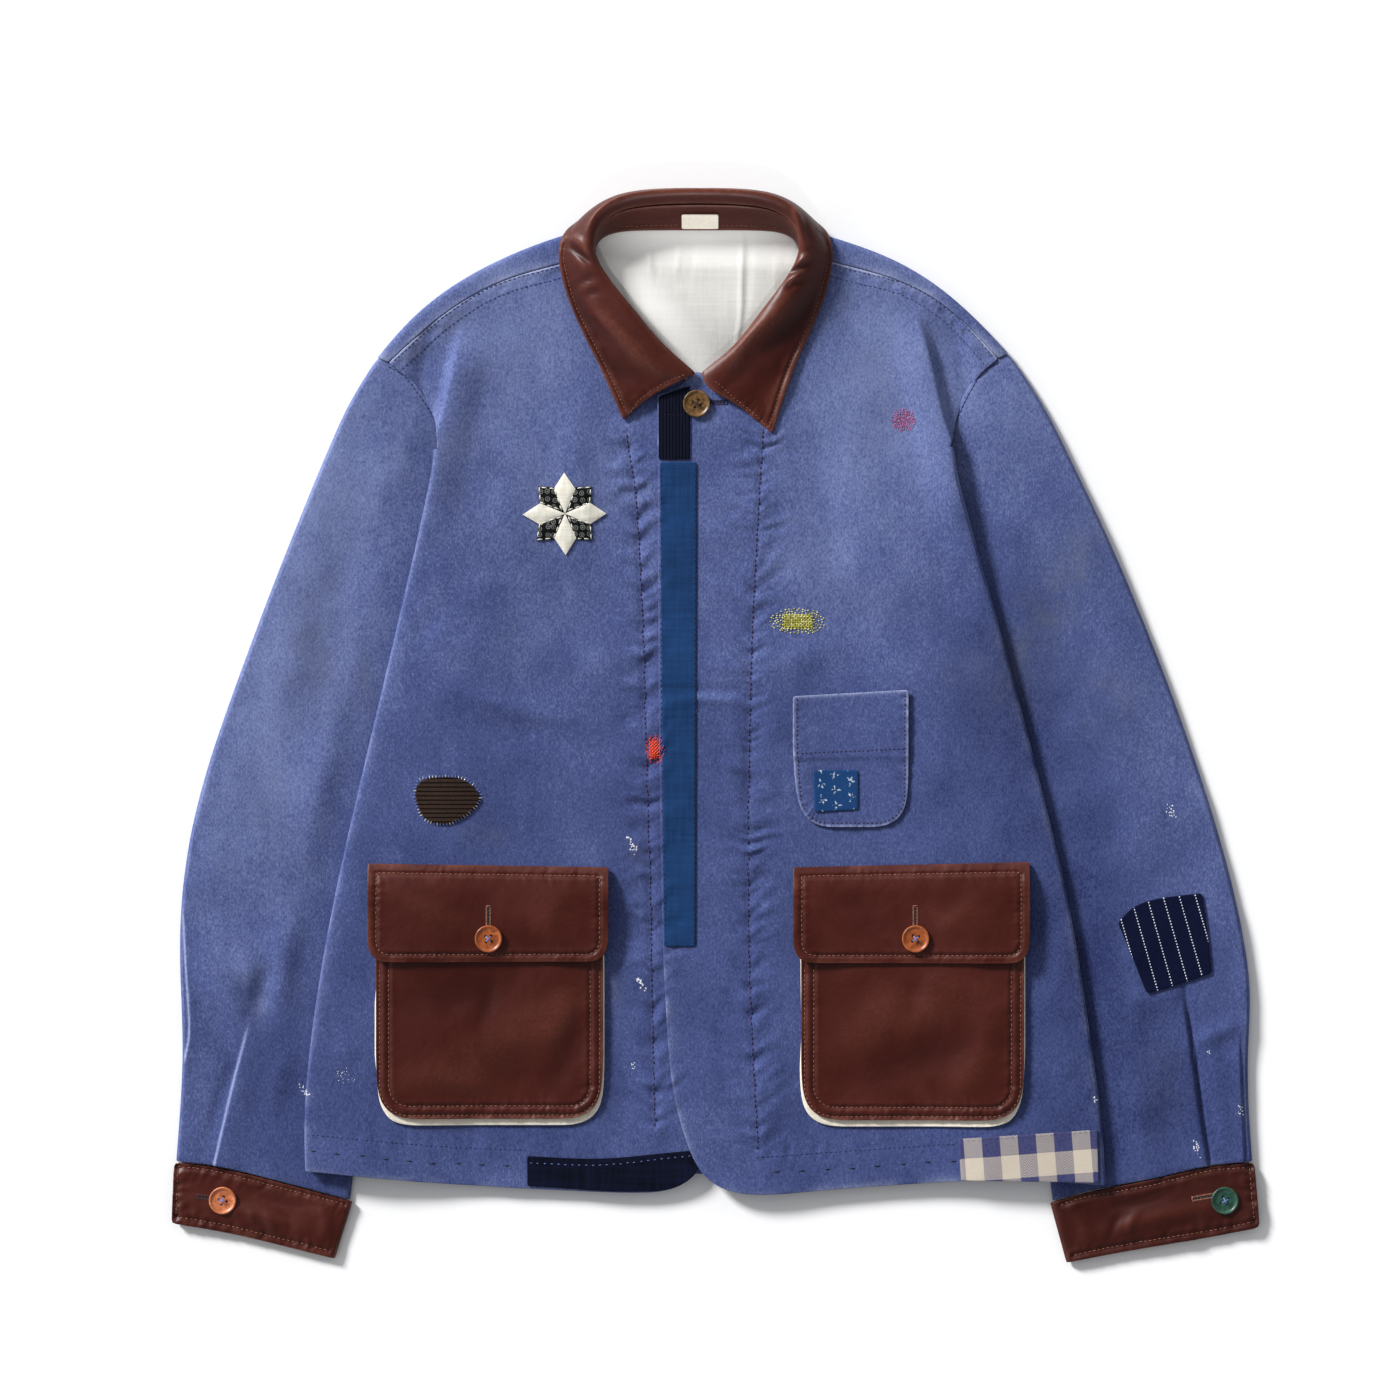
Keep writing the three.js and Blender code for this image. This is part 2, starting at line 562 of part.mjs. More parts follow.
// A four-sided patch laid on a surface; each edge is a list of plan points
function laidPatch({ bottom, top, start, end }, columns, rows, surface, height = patchLevel) {
  const plan = span(smooth(bottom, columns), smooth(top, columns), smooth(start, rows), smooth(end, rows));
  return wall(sheet(raise(plan, surface, height)), patchThickness);
}

// A patch with straight sides between four corners, lower left first and round from there
function corneredPatch([a, b, c, d], columns, rows, surface, height) {
  const edges = { bottom: [a, b], top: [d, c], start: [a, d], end: [b, c] };
  return laidPatch(edges, columns, rows, surface, height);
}

function outlinePatch(outline, rings, surface) {
  const patch = disc(outline, rings);
  raise([patch.points], surface, patchLevel);
  return wall(patch, patchThickness);
}

// Button: a disc with four thread holes, its foot at the given height
function button([x, y], z) {
  const circle = (cx, cy, radius, count) => Array.from({ length: count }, (unused, i) => {
    const angle = (i / count) * Math.PI * 2;
    return new THREE.Vector2(cx + radius * Math.cos(angle), cy + radius * Math.sin(angle));
  });
  const face = new THREE.Shape(circle(0, 0, buttonRadius, 22));
  for (const [i, j] of [[-1, -1], [-1, 1], [1, -1], [1, 1]]) {
    face.holes.push(new THREE.Path(circle(i * buttonHoleOffset, j * buttonHoleOffset, buttonHoleRadius, 6)));
  }
  return new THREE.ExtrudeGeometry(face, { depth: buttonThickness, bevelEnabled: false }).translate(x, y, z);
}

const jacket = new THREE.Group();

function add(name, geometry, colour, roughness = 0.9) {
  const material = new THREE.MeshStandardMaterial({ color: colour, roughness, metalness: 0 });
  const mesh = new THREE.Mesh(geometry, material);
  mesh.name = name;
  jacket.add(mesh);
}

// Body
add('back', backPanel(), colours.moleskin);
add('neck_lining', neckLining(), colours.linen);
add('front_right', frontPanel(right, restingFront), colours.moleskin);
add('front_left', frontPanel(left, lappedFront), colours.moleskin);

// Sleeves and cuffs
for (const [name, side] of [['right', right], ['left', left]]) {
  add(`sleeve_${name}`, sleeve(side), colours.moleskin);
  add(`cuff_${name}`, cuff(side), colours.leather, 0.5);
}

// Collar
add('collar_stand', collarStand(), colours.leather, 0.5);
add('collar_fall', collarFall(), colours.leather, 0.5);
add('neck_label', neckLabel(), colours.label);

// Pockets
for (const [name, surface] of [['right', restingFront], ['left', lappedFront]]) {
  add(`pocket_backing_${name}`, pocketBacking(pockets[name], surface), colours.canvas);
  add(`pocket_bag_${name}`, pocketBag(pockets[name], surface), colours.leather, 0.5);
  add(`pocket_flap_${name}`, pocketFlap(pockets[name], surface), colours.leather, 0.5);
}
const breastRows = roundedBox(breastPocket.box, breastPocket.corner, 5, 3);
const breastSheet = sheet(raise(breastRows, lappedFront, onCloth + clothThickness / 2));
add('breast_pocket', wall(breastSheet, clothThickness), colours.moleskin);

// Patches
const onBreastPocket = onCloth + clothThickness + layGap + patchThickness / 2;
const star = [0, 90, 180, 270].flatMap((turn) => starPoints.map(([degrees, reach]) => {
  const angle = THREE.MathUtils.degToRad(turn + degrees);
  return point(starCentre[0] + reach * Math.cos(angle), starCentre[1] + reach * Math.sin(angle));
}));
const tweed = smooth([[-222, -52], [-219, -40], [-204, -37], [-184, -39], [-173, -54], [-193, -71],
  [-214, -69], [-222, -52]], 14).slice(0, -1);
const pinstripe = [[297, -145], [306, -134], [319, -128], [339, -125], [359, -123], [363, -152], [366, -182],
  [342, -190], [318, -197], [308, -171]].map(([x, y]) => point(x, y));
const bindingEdges = {
  bottom: [[-139, -339], [-71, -343], [-31, -341.5], [-15, -332]],
  top: [[-139, -317], [-85, -319], [-30, -314], [-7, -312]],
  start: [[-139, -339], [-139, -317]],
  end: [[-15, -332], [-7, -312]],
};
const tealCorners = [[-38, -162], [-15, -162], [-14, 195], [-41, 195]];
const corduroyCorners = [[-42, 197], [-19, 197], [-19, 243], [-42, 237]];
const checkCorners = [[181, -334.5], [282, -336], [281, -297], [179, -304]];
const floralCorners = [[73, -63], [105, -61], [105, -32], [72, -32]];
add('teal_strip', corneredPatch(tealCorners, 2, 14, lappedFront), colours.teal);
add('corduroy_strip', corneredPatch(corduroyCorners, 2, 3, lappedFront), colours.corduroy);
add('hem_binding', laidPatch(bindingEdges, 8, 2, restingFront), colours.binding);
add('check_patch', corneredPatch(checkCorners, 7, 3, lappedFront), colours.check);
add('star_patch', outlinePatch(star, 3, restingFront), colours.star);
add('tweed_patch', outlinePatch(tweed, 2, restingFront), colours.tweed);
add('pinstripe_patch', outlinePatch(pinstripe, 3, sleeveSurface(left)), colours.pinstripe);
add('floral_patch', corneredPatch(floralCorners, 2, 2, lappedFront, onBreastPocket), colours.floral);

// Buttons
const flapTop = bagLevel + flapRise + leatherThickness / 2 + 2 * layGap;
const onCorduroy = onCloth + patchThickness + layGap;
const cuffTopFace = cuffUpper + leatherThickness / 2 + layGap;
add('button_neck', button([-14, 238], lappedFront(-14, 238) + onCorduroy), colours.hornButton, 0.4);
add('button_pocket_right', button([-167, -156], restingFront(-167, -156) + flapTop), colours.tanButton, 0.4);
add('button_pocket_left', button([147, -156], lappedFront(147, -156) + flapTop), colours.tanButton, 0.4);
add('button_cuff_right', button([-364, -350], cuffTopFace), colours.tanButton, 0.4);
add('button_cuff_left', button([376, -350], cuffTopFace), colours.greenButton, 0.4);

export default jacket;
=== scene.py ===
import json
import math
import random

import bmesh
import bpy
import numpy as np
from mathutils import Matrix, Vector
from mathutils.bvhtree import BVHTree
from mathutils.kdtree import KDTree

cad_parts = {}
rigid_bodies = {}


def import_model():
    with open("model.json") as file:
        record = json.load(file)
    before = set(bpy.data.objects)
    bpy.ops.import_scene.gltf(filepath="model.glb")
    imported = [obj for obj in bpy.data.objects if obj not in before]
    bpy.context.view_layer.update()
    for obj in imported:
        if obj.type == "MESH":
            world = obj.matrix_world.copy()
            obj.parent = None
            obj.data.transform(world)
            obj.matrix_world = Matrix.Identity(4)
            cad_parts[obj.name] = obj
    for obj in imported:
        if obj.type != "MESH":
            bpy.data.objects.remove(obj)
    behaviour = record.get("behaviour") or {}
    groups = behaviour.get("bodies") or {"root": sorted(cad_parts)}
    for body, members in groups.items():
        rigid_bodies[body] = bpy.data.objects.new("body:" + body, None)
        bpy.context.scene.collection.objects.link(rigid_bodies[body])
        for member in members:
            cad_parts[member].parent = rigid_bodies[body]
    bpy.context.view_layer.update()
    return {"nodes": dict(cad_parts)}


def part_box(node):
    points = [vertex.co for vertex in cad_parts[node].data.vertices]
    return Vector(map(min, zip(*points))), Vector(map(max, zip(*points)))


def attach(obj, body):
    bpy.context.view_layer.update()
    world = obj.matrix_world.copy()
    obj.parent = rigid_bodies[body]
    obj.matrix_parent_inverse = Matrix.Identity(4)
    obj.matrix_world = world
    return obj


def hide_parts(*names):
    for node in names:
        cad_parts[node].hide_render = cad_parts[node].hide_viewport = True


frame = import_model()
mm = 0.001
draw = random.Random(41)
print("frame loaded:", len(frame["nodes"]), "solids")

def linear(hexText):
    parts = [int(hexText[i:i + 2], 16) / 255 for i in (0, 2, 4)]
    return [c / 12.92 if c <= 0.04045 else ((c + 0.055) / 1.055) ** 2.4 for c in parts] + [1]

def perMm(size):  # texture scale for a pattern that repeats every so many millimetres
    return 1000 / size

def addNode(tree, kind, settings=None, inputs=None):
    made = tree.nodes.new("ShaderNode" + kind)
    for name, value in (settings or {}).items():
        setattr(made, name, value)
    for name, value in (inputs or {}).items():
        if isinstance(value, bpy.types.NodeSocket):
            tree.links.new(value, made.inputs[name])
        else:
            made.inputs[name].default_value = value
    return made

def startMaterial(name, roughness, specular=0.3, sheen=0.0):
    material = bpy.data.materials.new(name)
    material.use_nodes = True
    tree = material.node_tree
    shader = tree.nodes["Principled BSDF"]
    shader.inputs["Roughness"].default_value = roughness
    shader.inputs["Specular IOR Level"].default_value = specular
    shader.inputs["Sheen Weight"].default_value = sheen
    place = addNode(tree, "TexCoord").outputs["Object"]
    return material, tree, shader, place

def connect(tree, shader, sockets):
    for name, socket in sockets.items():
        tree.links.new(socket, shader.inputs[name])

def spreadColours(ramp, low, middle, high):  # each: where on the ramp, colour
    for stop, (position, colour) in zip(ramp.color_ramp.elements, (low, high)):
        stop.position = position
        stop.color = linear(colour)
    ramp.color_ramp.elements.new(middle[0]).color = linear(middle[1])

# Plan lines of the cut, in millimetres: the wearer's right is at -X, the collar at +Y
cut = {
    "right": {
        "sign": -1,
        "side": [(-302, -328), (-303, -284), (-294, -202), (-278, -114), (-254, -10), (-233, 79), (-215, 157),
                 (-205, 204)],
        "armhole": [(-203, 219), (-210, 233), (-228, 258), (-242, 267)],
        "shoulder": [(-241.5, 268.8), (-205, 302), (-165, 327), (-118, 341), (-88, 348)],
        "facing": [(-66, 216), (-59, 168), (-56, 123), (-53.5, 64), (-52, 5), (-50, -69), (-48, -128),
                   (-47, -202), (-45, -296)],
        "hem": [(-301, -328), (-204, -337), (-140, -340)],
        "fold": [(-186, 300), (-197, 250), (-206, 204), (-216, 157)],
        "cap": (-250, 271), "tuck": (0.78, 0.62),
    },
    "left": {
        "sign": 1,
        "side": [(287, -338), (285, -298), (276, -232), (262, -141), (240, -47), (219, 34), (199, 108),
                 (179, 179), (172, 206)],
        "armhole": [(172, 209), (179, 231), (194, 259), (209, 270)],
        "shoulder": [(208.5, 271.8), (177, 306), (142, 328), (101, 339), (63, 350)],
        "facing": [(35, 219), (31, 153), (28, 94), (25.5, 20), (24, -54), (24, -128), (25.5, -202),
                   (31, -312)],
        "hem": [(178, -335), (107, -340), (30, -345)],
        "fold": [(146, 312), (158, 273), (168, 226), (177, 183), (190, 135)],
        "cap": (217, 274), "tuck": (-0.85, 0.52),
    },
}

def smoothLine(points, step=3.0):  # evenly spaced points on a smooth curve through these
    p = np.array(points, float)
    ends = np.vstack([2 * p[0] - p[1], p, 2 * p[-1] - p[-2]])
    t = np.linspace(0, 1, 25)[:-1, None]
    spans = [0.5 * (2 * b + (c - a) * t + (2 * a - 5 * b + 4 * c - d) * t ** 2 + (3 * b - a - 3 * c + d)
                    * t ** 3)
             for a, b, c, d in zip(ends, ends[1:], ends[2:], ends[3:])]
    return evenly(np.vstack(spans + [p[-1:]]), step)

def evenly(line, step):
    run = np.concatenate([[0], np.cumsum(np.linalg.norm(np.diff(line, axis=0), axis=1))])
    marks = np.linspace(0, run[-1], max(2, int(round(run[-1] / step)) + 1))
    return np.column_stack([np.interp(marks, run, line[:, k]) for k in range(line.shape[1])])

def offsetLine(line, distance):  # moved to the left of its own direction
    ahead = np.gradient(line, axis=0)
    ahead /= np.linalg.norm(ahead, axis=1)[:, None]
    return line + distance * np.column_stack([-ahead[:, 1], ahead[:, 0]])

def nearLine(x, y, line, reach):
    # which points lie within reach of a line, how far to its left, and how far along it
    near = np.where((x > line[:, 0].min() - reach) & (x < line[:, 0].max() + reach)
                    & (y > line[:, 1].min() - reach) & (y < line[:, 1].max() + reach))[0]
    p = np.column_stack([x[near], y[near]])
    best, side, along = np.full(len(near), 1e9), np.ones(len(near)), np.zeros(len(near))
    run = 0.0
    for a, b in zip(line, line[1:]):
        ab = b - a
        length = np.hypot(*ab)
        t = np.clip((p - a) @ ab / length ** 2, 0, 1)
        off = p - a - t[:, None] * ab
        d = np.hypot(off[:, 0], off[:, 1])
        closer = d < best
        best[closer] = d[closer]
        side[closer] = np.sign(ab[0] * off[closer, 1] - ab[1] * off[closer, 0])
        along[closer] = run + t[closer] * length
        run += length
    kept = best < reach
    return near[kept], (best * side)[kept], along[kept], run

def ease(value, low, high):
    t = np.clip((value - low) / (high - low), 0, 1)
    return t * t * (3 - 2 * t)

def softNoise(x, y, size, seed, stretch=1.0):  # smooth lattice noise, -1 to 1
    table = np.random.default_rng(seed).uniform(-1, 1, (97, 97))
    u, v = x / size + 500, y / (size * stretch) + 500
    i, j = np.floor(u).astype(int), np.floor(v).astype(int)
    f, g = u - i, v - j
    f, g = f * f * (3 - 2 * f), g * g * (3 - 2 * g)
    a, b = table[i % 97, j % 97], table[(i + 1) % 97, j % 97]
    c, d = table[i % 97, (j + 1) % 97], table[(i + 1) % 97, (j + 1) % 97]
    return (a * (1 - f) + b * f) * (1 - g) + (c * (1 - f) + d * f) * g

def addCreases(x, y, z, creases, gain=1.0):  # each: height, half width, points
    for height, width, points in creases:
        near, off, along, run = nearLine(x, y, smoothLine(points, 6), 2.6 * width)
        ends = np.sin(np.pi * np.clip(along / run, 0.04, 0.96)) ** 0.7
        z[near] += gain * height * np.exp(-(off / width) ** 2) * ends
    return z

def addPucker(x, y, z, line, height, pitch, reach, lean, seed):
    # cloth drawn up along a sewn line: short ripples that lean away from it and die out
    near, off, along, run = nearLine(x, y, line, 2.8 * reach)
    leaning = along + lean * np.abs(off) + 9 * softNoise(along, off, 40, seed + 1)
    wave = 1.5 * softNoise(leaning, off * 0.3, pitch * 0.5, seed) + 0.7 * softNoise(leaning, off * 0.4,
        pitch * 0.24, seed + 3)
    length = reach * (1.05 + 0.5 * softNoise(along, off * 0, 22, seed + 2))
    z[near] += height * wave * np.exp(-(off / length) ** 2)
    z[near] -= 0.5 * height * np.exp(-(off / 2.6) ** 2)
    return z

bodyFolds = {
    "roll": 1.0,
    "gain": 2.0,
    "puckerHeight": 1.15,
    "puckerPitch": 13.0,
    "puckerReach": 15.0,
    "creases": [  # height, half width, line
        (0.9, 7, [(-222, 92), (-205, 70), (-184, 54), (-174, 47)]),
        (-1.0, 9, [(-224, 62), (-212, 78), (-203, 86)]),
        (1.0, 8, [(-190, 26), (-152, 14), (-122, 7), (-96, 2)]),
        (-0.7, 12, [(-196, 12), (-160, -4), (-120, -8)]),
        (0.6, 10, [(-120, 60), (-84, 44), (-58, 36)]),
        (-0.7, 14, [(-176, 150), (-150, 90), (-140, 40)]),
        (0.8, 18, [(-170, 250), (-150, 180), (-152, 110)]),
        (0.7, 13, [(-96, 250), (-104, 206), (-98, 150)]),
        (-0.6, 13, [(-80, 190), (-84, 120), (-76, 70)]),
        (0.8, 4.5, [(-44, 17), (-20, 21), (4, 20), (24, 16)]),
        (-0.7, 4.0, [(-40, 23), (-16, 26), (8, 25), (22, 22)]),
        (0.7, 5, [(0, 52), (12, 44), (26, 40)]),
        (0.6, 5, [(2, -22), (16, -30), (28, -36)]),
        (0.7, 6, [(30, 12), (44, 2), (52, -12)]),
        (0.6, 6, [(-8, 150), (10, 142), (26, 134)]),
        (0.6, 5, [(-6, 112), (10, 100), (24, 96)]),
        (0.5, 5, [(-8, -84), (10, -92), (24, -94)]),
        (0.9, 22, [(96, 260), (104, 180), (128, 110)]),
        (-0.7, 18, [(70, 200), (84, 130), (120, 70)]),
        (0.7, 15, [(150, 70), (176, 20), (214, -10)]),
        (-0.8, 12, [(160, 40), (190, 4), (222, -26)]),
        (0.8, 12, [(100, 60), (60, 50), (36, 46)]),
        (0.7, 13, [(200, -60), (232, -80), (250, -100)]),
        (0.6, 9, [(-268, -60), (-248, -76), (-222, -84)]),
        (0.6, 10, [(-296, -250), (-276, -238), (-258, -240)]),
        (0.5, 7, [(246, -262), (262, -250), (276, -240)]),
        (0.7, 9, [(40, -300), (44, -262), (38, -230)]),
        (-0.6, 9, [(-70, -300), (-66, -262), (-74, -230)]),
    ],
}
bodyEdges = [smoothLine(c["side"] + c["armhole"] + c["shoulder"], 8) for c in cut.values()]
facings = [smoothLine(c["facing"], 3) for c in cut.values()]
foldLines = [smoothLine(c["fold"], 5) for c in cut.values()]
hemLines = [smoothLine(c["hem"], 4) for c in cut.values()]
shoulderBands = [offsetLine(smoothLine(c["shoulder"], 3), 6.4 * c["sign"]) for c in cut.values()]

def bodyField(x, y):
    # how far the cloth of the fronts, and all that lies on them, rises or sinks
    z = bodyFolds["roll"] * (softNoise(x, y, 88, 3) + 0.55 * softNoise(x, y, 38, 4) + 0.2 * softNoise(x, y,
        17, 5))
    addCreases(x, y, z, bodyFolds["creases"], bodyFolds["gain"])
    for k, line in enumerate(facings):
        addPucker(x, y, z, line, bodyFolds["puckerHeight"], bodyFolds["puckerPitch"],
                  bodyFolds["puckerReach"],
                  0.45, 20 + 7 * k)
    for k, line in enumerate(hemLines):
        addPucker(x, y, z, offsetLine(line, 30 if k == 0 else -30), 0.3, 11, 7, 0.3, 50 + 7 * k)
    away = np.full(len(x), 60.0)
    for line in bodyEdges:
        near, off, along, run = nearLine(x, y, line, 60)
        away[near] = np.minimum(away[near], np.abs(off))
    z *= ease(away, 4, 34)
    for k, line in enumerate(shoulderBands):
        addPucker(x, y, z, line, 0.42, 5.5, 4.2, 0.5, 150 + 7 * k)
    return z

def stepFold(x, y):
    # the fronts roll over beside the armholes, with a steep drop on the sleeve side
    z = np.zeros(len(x))
    for line, sign in zip(foldLines, (1, -1)):
        near, off, along, run = nearLine(x, y, line, 36)
        inside = off * sign
        rise = ease(inside, -3, 1) * (1 - ease(inside, 3, 30)) * (1 - 0.6 * ease(along, run - 40, run))
        dip = ease(-inside, 1, 8) * (1 - ease(-inside, 20, 35))
        z[near] += ease(along, 0, 40) * (4.2 * rise - 3.6 * dip)
    return z

sleeveFolds = {
    "roll": 1.2,
    "gain": 2.0,
    "pleats": [  # step up to the left of the line, reach, line
        (2.6, 13, [(-343, -214), (-356, -262), (-372, -331)]),
        (1.3, 6, [(-394, -128), (-391, -180), (-388.5, -223), (-392, -246)]),
        (-2.4, 12, [(344, -190), (352, -240), (358, -282), (365, -330)]),
        (-2.0, 9, [(387, -220), (388, -262), (391, -330)]),
    ],
    "creases": [
        (-1.3, 2.2, [(345, -184), (353, -240), (359, -284), (366, -332)]),
        (-2.0, 8, [(-330, -176), (-334, -190), (-338, -212)]),
        (1.4, 9, [(-384, -168), (-362, -194), (-346, -216)]),
        (-1.2, 8, [(-388, -200), (-366, -226), (-356, -250)]),
        (1.3, 12, [(-306, -130), (-318, -172), (-312, -216)]),
        (1.0, 9, [(-300, -230), (-316, -252), (-326, -286)]),
        (-0.9, 9, [(-290, -244), (-300, -276), (-306, -310)]),
        (1.0, 22, [(-285, 218), (-308, 92), (-336, -30)]),
        (-0.9, 18, [(-262, 190), (-274, 100), (-296, 0)]),
        (0.8, 14, [(-268, 60), (-284, -20), (-300, -90)]),
        (0.9, 12, [(-380, -80), (-362, -110), (-346, -120)]),
        (-0.6, 6, [(-352, -236), (-364, -272), (-380, -318)]),
        (1.1, 5, [(-352, -172), (-338, -186), (-326, -196)]),
        (-1.1, 6, [(-356, -184), (-344, -196), (-330, -208)]),
        (-1.0, 3, [(-283, -330), (-284, -341), (-285, -350)]),
        (1.1, 20, [(252, 190), (292, 80), (322, -20)]),
        (-0.9, 20, [(226, 160), (252, 60), (276, -40)]),
        (0.9, 16, [(300, -30), (318, -80), (330, -116)]),
        (1.0, 10, [(300, -206), (322, -200), (344, -204)]),
        (0.7, 7, [(360, -210), (368, -250), (376, -320)]),
        (1.2, 6, [(352, -236), (370, -226), (388, -220)]),
        (0.9, 11, [(300, -240), (312, -280), (320, -330)]),
        (-1.0, 3, [(273, -336), (274, -344), (275, -352)]),
        (0.8, 14, [(268, -120), (284, -170), (288, -230)]),
    ],
}

def sleeveField(x, y):
    z = sleeveFolds["roll"] * (softNoise(x, y, 70, 13) + 0.5 * softNoise(x, y, 30, 14) + 0.2 * softNoise(x,
        y, 14, 15))
    addCreases(x, y, z, sleeveFolds["creases"], sleeveFolds["gain"])
    for step, reach, points in sleeveFolds["pleats"]:
        near, off, along, run = nearLine(x, y, smoothLine(points, 5), 2.5 * reach)
        z[near] += step * (ease(off, -1.0, 1.0) - 0.5) * np.exp(-(off / reach) ** 2) * ease(along, 0,
            0.3 * run)
    openness = np.zeros(len(x))
    for c in cut.values():
        line = smoothLine(c["side"] + c["armhole"], 8)
        near, off, along, run = nearLine(x, y, line, 300)
        outward = off * -c["sign"]
        openness[near] = np.maximum(openness[near], ease(outward, 6, 30))
    return z * openness * ease(y, -346, -318)

# Fading, soil and wear, read by the materials as attributes of each sheet; the fading also holds painted
# shade on the left sleeve, where the body's shadow falls
ageingAndShade = {
    # painted shade: the darker entries on the left sleeve, along the body's side edge and low down, stand for
    # the body's shadow and the shade there; the rest is fading
    "fadedAndShaded": [  # x, y, half width, half length, amount
        (-150, 270, 90, 90, 0.26), (120, 270, 90, 90, 0.28), (-110, 160, 80, 90, 0.12),
        (100, 150, 70, 100, 0.16),
        (-300, 130, 60, 150, 0.3), (-350, -70, 60, 120, 0.22), (250, 190, 50, 90, 0.12),
        (330, -20, 60, 120, 0.05),
        (0, 150, 40, 100, 0.04), (0, -60, 50, 110, -0.08), (-180, -20, 90, 60, -0.06),
        (-190, -250, 110, 90, -0.1),
        (150, -260, 110, 90, -0.12), (190, -40, 60, 90, -0.1), (340, -280, 70, 90, -0.18),
        (260, -120, 40, 160, -0.2),
        (220, 80, 36, 120, -0.14), (-330, -280, 70, 60, -0.12), (-20, -260, 60, 70, -0.02),
        (-159, 219, 40, 50, -0.08),
        (-115, 49, 70, 50, 0.08), (133, 49, 60, 50, 0.07), (-274, -166, 20, 60, -0.06),
        (-256, 190, 45, 60, 0.12),
        (-319, 27, 50, 90, 0.08), (-367, -280, 25, 55, 0.13), (225, 197, 32, 55, 0.11),
        (262, 56, 38, 75, 0.13),
        (337, -28, 42, 70, 0.07), (285, -166, 18, 65, -0.14), (318, -276, 30, 50, -0.06),
        (-159, 331, 60, 20, 0.09),
    ],
    "soiled": [  # x, y, half width, half length, turn in degrees, amount
        (-212, 286, 26, 6, 38, 0.75), (-190, 303, 18, 5, 30, 0.5), (232, 60, 22, 60, -20, 0.5),
        (262, 110, 14, 50, -20, 0.45), (290, 20, 24, 40, 20, 0.35), (-300, 60, 14, 60, 16, 0.35),
        (-330, -60, 16, 40, 10, 0.35), (-255, 20, 8, 40, 14, 0.3), (-338, -200, 8, 22, 8, 0.5),
        (-142, 60, 20, 16, 0, 0.22), (-60, -100, 8, 12, 0, 0.35), (-74, -196, 6, 16, 0, 0.35),
        (-180, 190, 26, 40, 0, 0.18), (118, 250, 12, 40, 0, 0.2), (180, 40, 30, 20, 0, 0.16),
        (-170, -80, 20, 9, 0, 0.3), (120, 90, 24, 20, 0, 0.2), (330, -262, 18, 30, 0, 0.25),
    ],
}

# fading with painted shade: darker where the left sleeve lies in the body's shadow
def fadeAndShadeField(x, y):
    value = np.full(len(x), 0.46)
    for cx, cy, rx, ry, amount in ageingAndShade["fadedAndShaded"]:
        value += amount * np.exp(-((x - cx) / rx) ** 2 - ((y - cy) / ry) ** 2)
    value += 0.05 * softNoise(x, y, 60, 31) + 0.05 * softNoise(x, y, 24, 32) + 0.04 * softNoise(x, y, 9, 33,
        2.5)
    return value

def soilField(x, y):
    value = np.zeros(len(x))
    for cx, cy, rx, ry, turn, amount in ageingAndShade["soiled"]:
        c, s = math.cos(math.radians(turn)), math.sin(math.radians(turn))
        u, v = (x - cx) * c + (y - cy) * s, (y - cy) * c - (x - cx) * s
        value += amount * np.exp(-(u / rx) ** 2 - (v / ry) ** 2)
    patchy = 0.65 + 0.5 * softNoise(x, y, 16, 35) + 0.35 * softNoise(x, y, 6, 36)
    return np.clip(value * patchy, 0, 1)

def setAttribute(piece, name, values):
    layer = piece.data.attributes.get(name) or piece.data.attributes.new(name, "FLOAT", "POINT")
    layer.data.foreach_set("value", np.asarray(values, np.float32))

def pointsOf(piece):
    flat = np.empty(len(piece.data.vertices) * 3, np.float64)
    piece.data.vertices.foreach_get("co", flat)
    return flat.reshape(-1, 3) / mm

def setPoints(piece, points):
    piece.data.vertices.foreach_set("co", (points * mm).astype(np.float32).ravel())
    piece.data.update()

def pick(piece):
    if bpy.context.object and bpy.context.object.mode != "OBJECT":
        bpy.ops.object.mode_set(mode="OBJECT")
    bpy.ops.object.select_all(action="DESELECT")
    bpy.context.view_layer.objects.active = piece
    piece.select_set(True)

def deselectFaces():
    bpy.ops.object.mode_set(mode="EDIT")
    bpy.ops.mesh.select_mode(type="FACE")
    bpy.ops.mesh.select_all(action="DESELECT")
    bpy.ops.object.mode_set(mode="OBJECT")

def faceOutwards(piece):
    pick(piece)
    bpy.ops.object.mode_set(mode="EDIT")
    bpy.ops.mesh.select_all(action="SELECT")
    bpy.ops.mesh.normals_make_consistent(inside=False)
    bpy.ops.object.mode_set(mode="OBJECT")

def showsFine(nodeName, again, x, y):
    # not under the pockets, and a second time only along the sleeves' pleats
    shown = np.full(len(x), not again)
    if again:
        for step, reach, line in sleeveFolds["pleats"]:
            shown[nearLine(x, y, smoothLine(line, 6), 15)[0]] = True
    elif nodeName.startswith("front"):
        for shape in pocketShapes.values():
            x0, x1, y0 = shape["bag"]
            shown &= ~((x > x0 + 8) & (x < x1 - 8) & (y > y0 + 8) & (y < -112))
    return shown

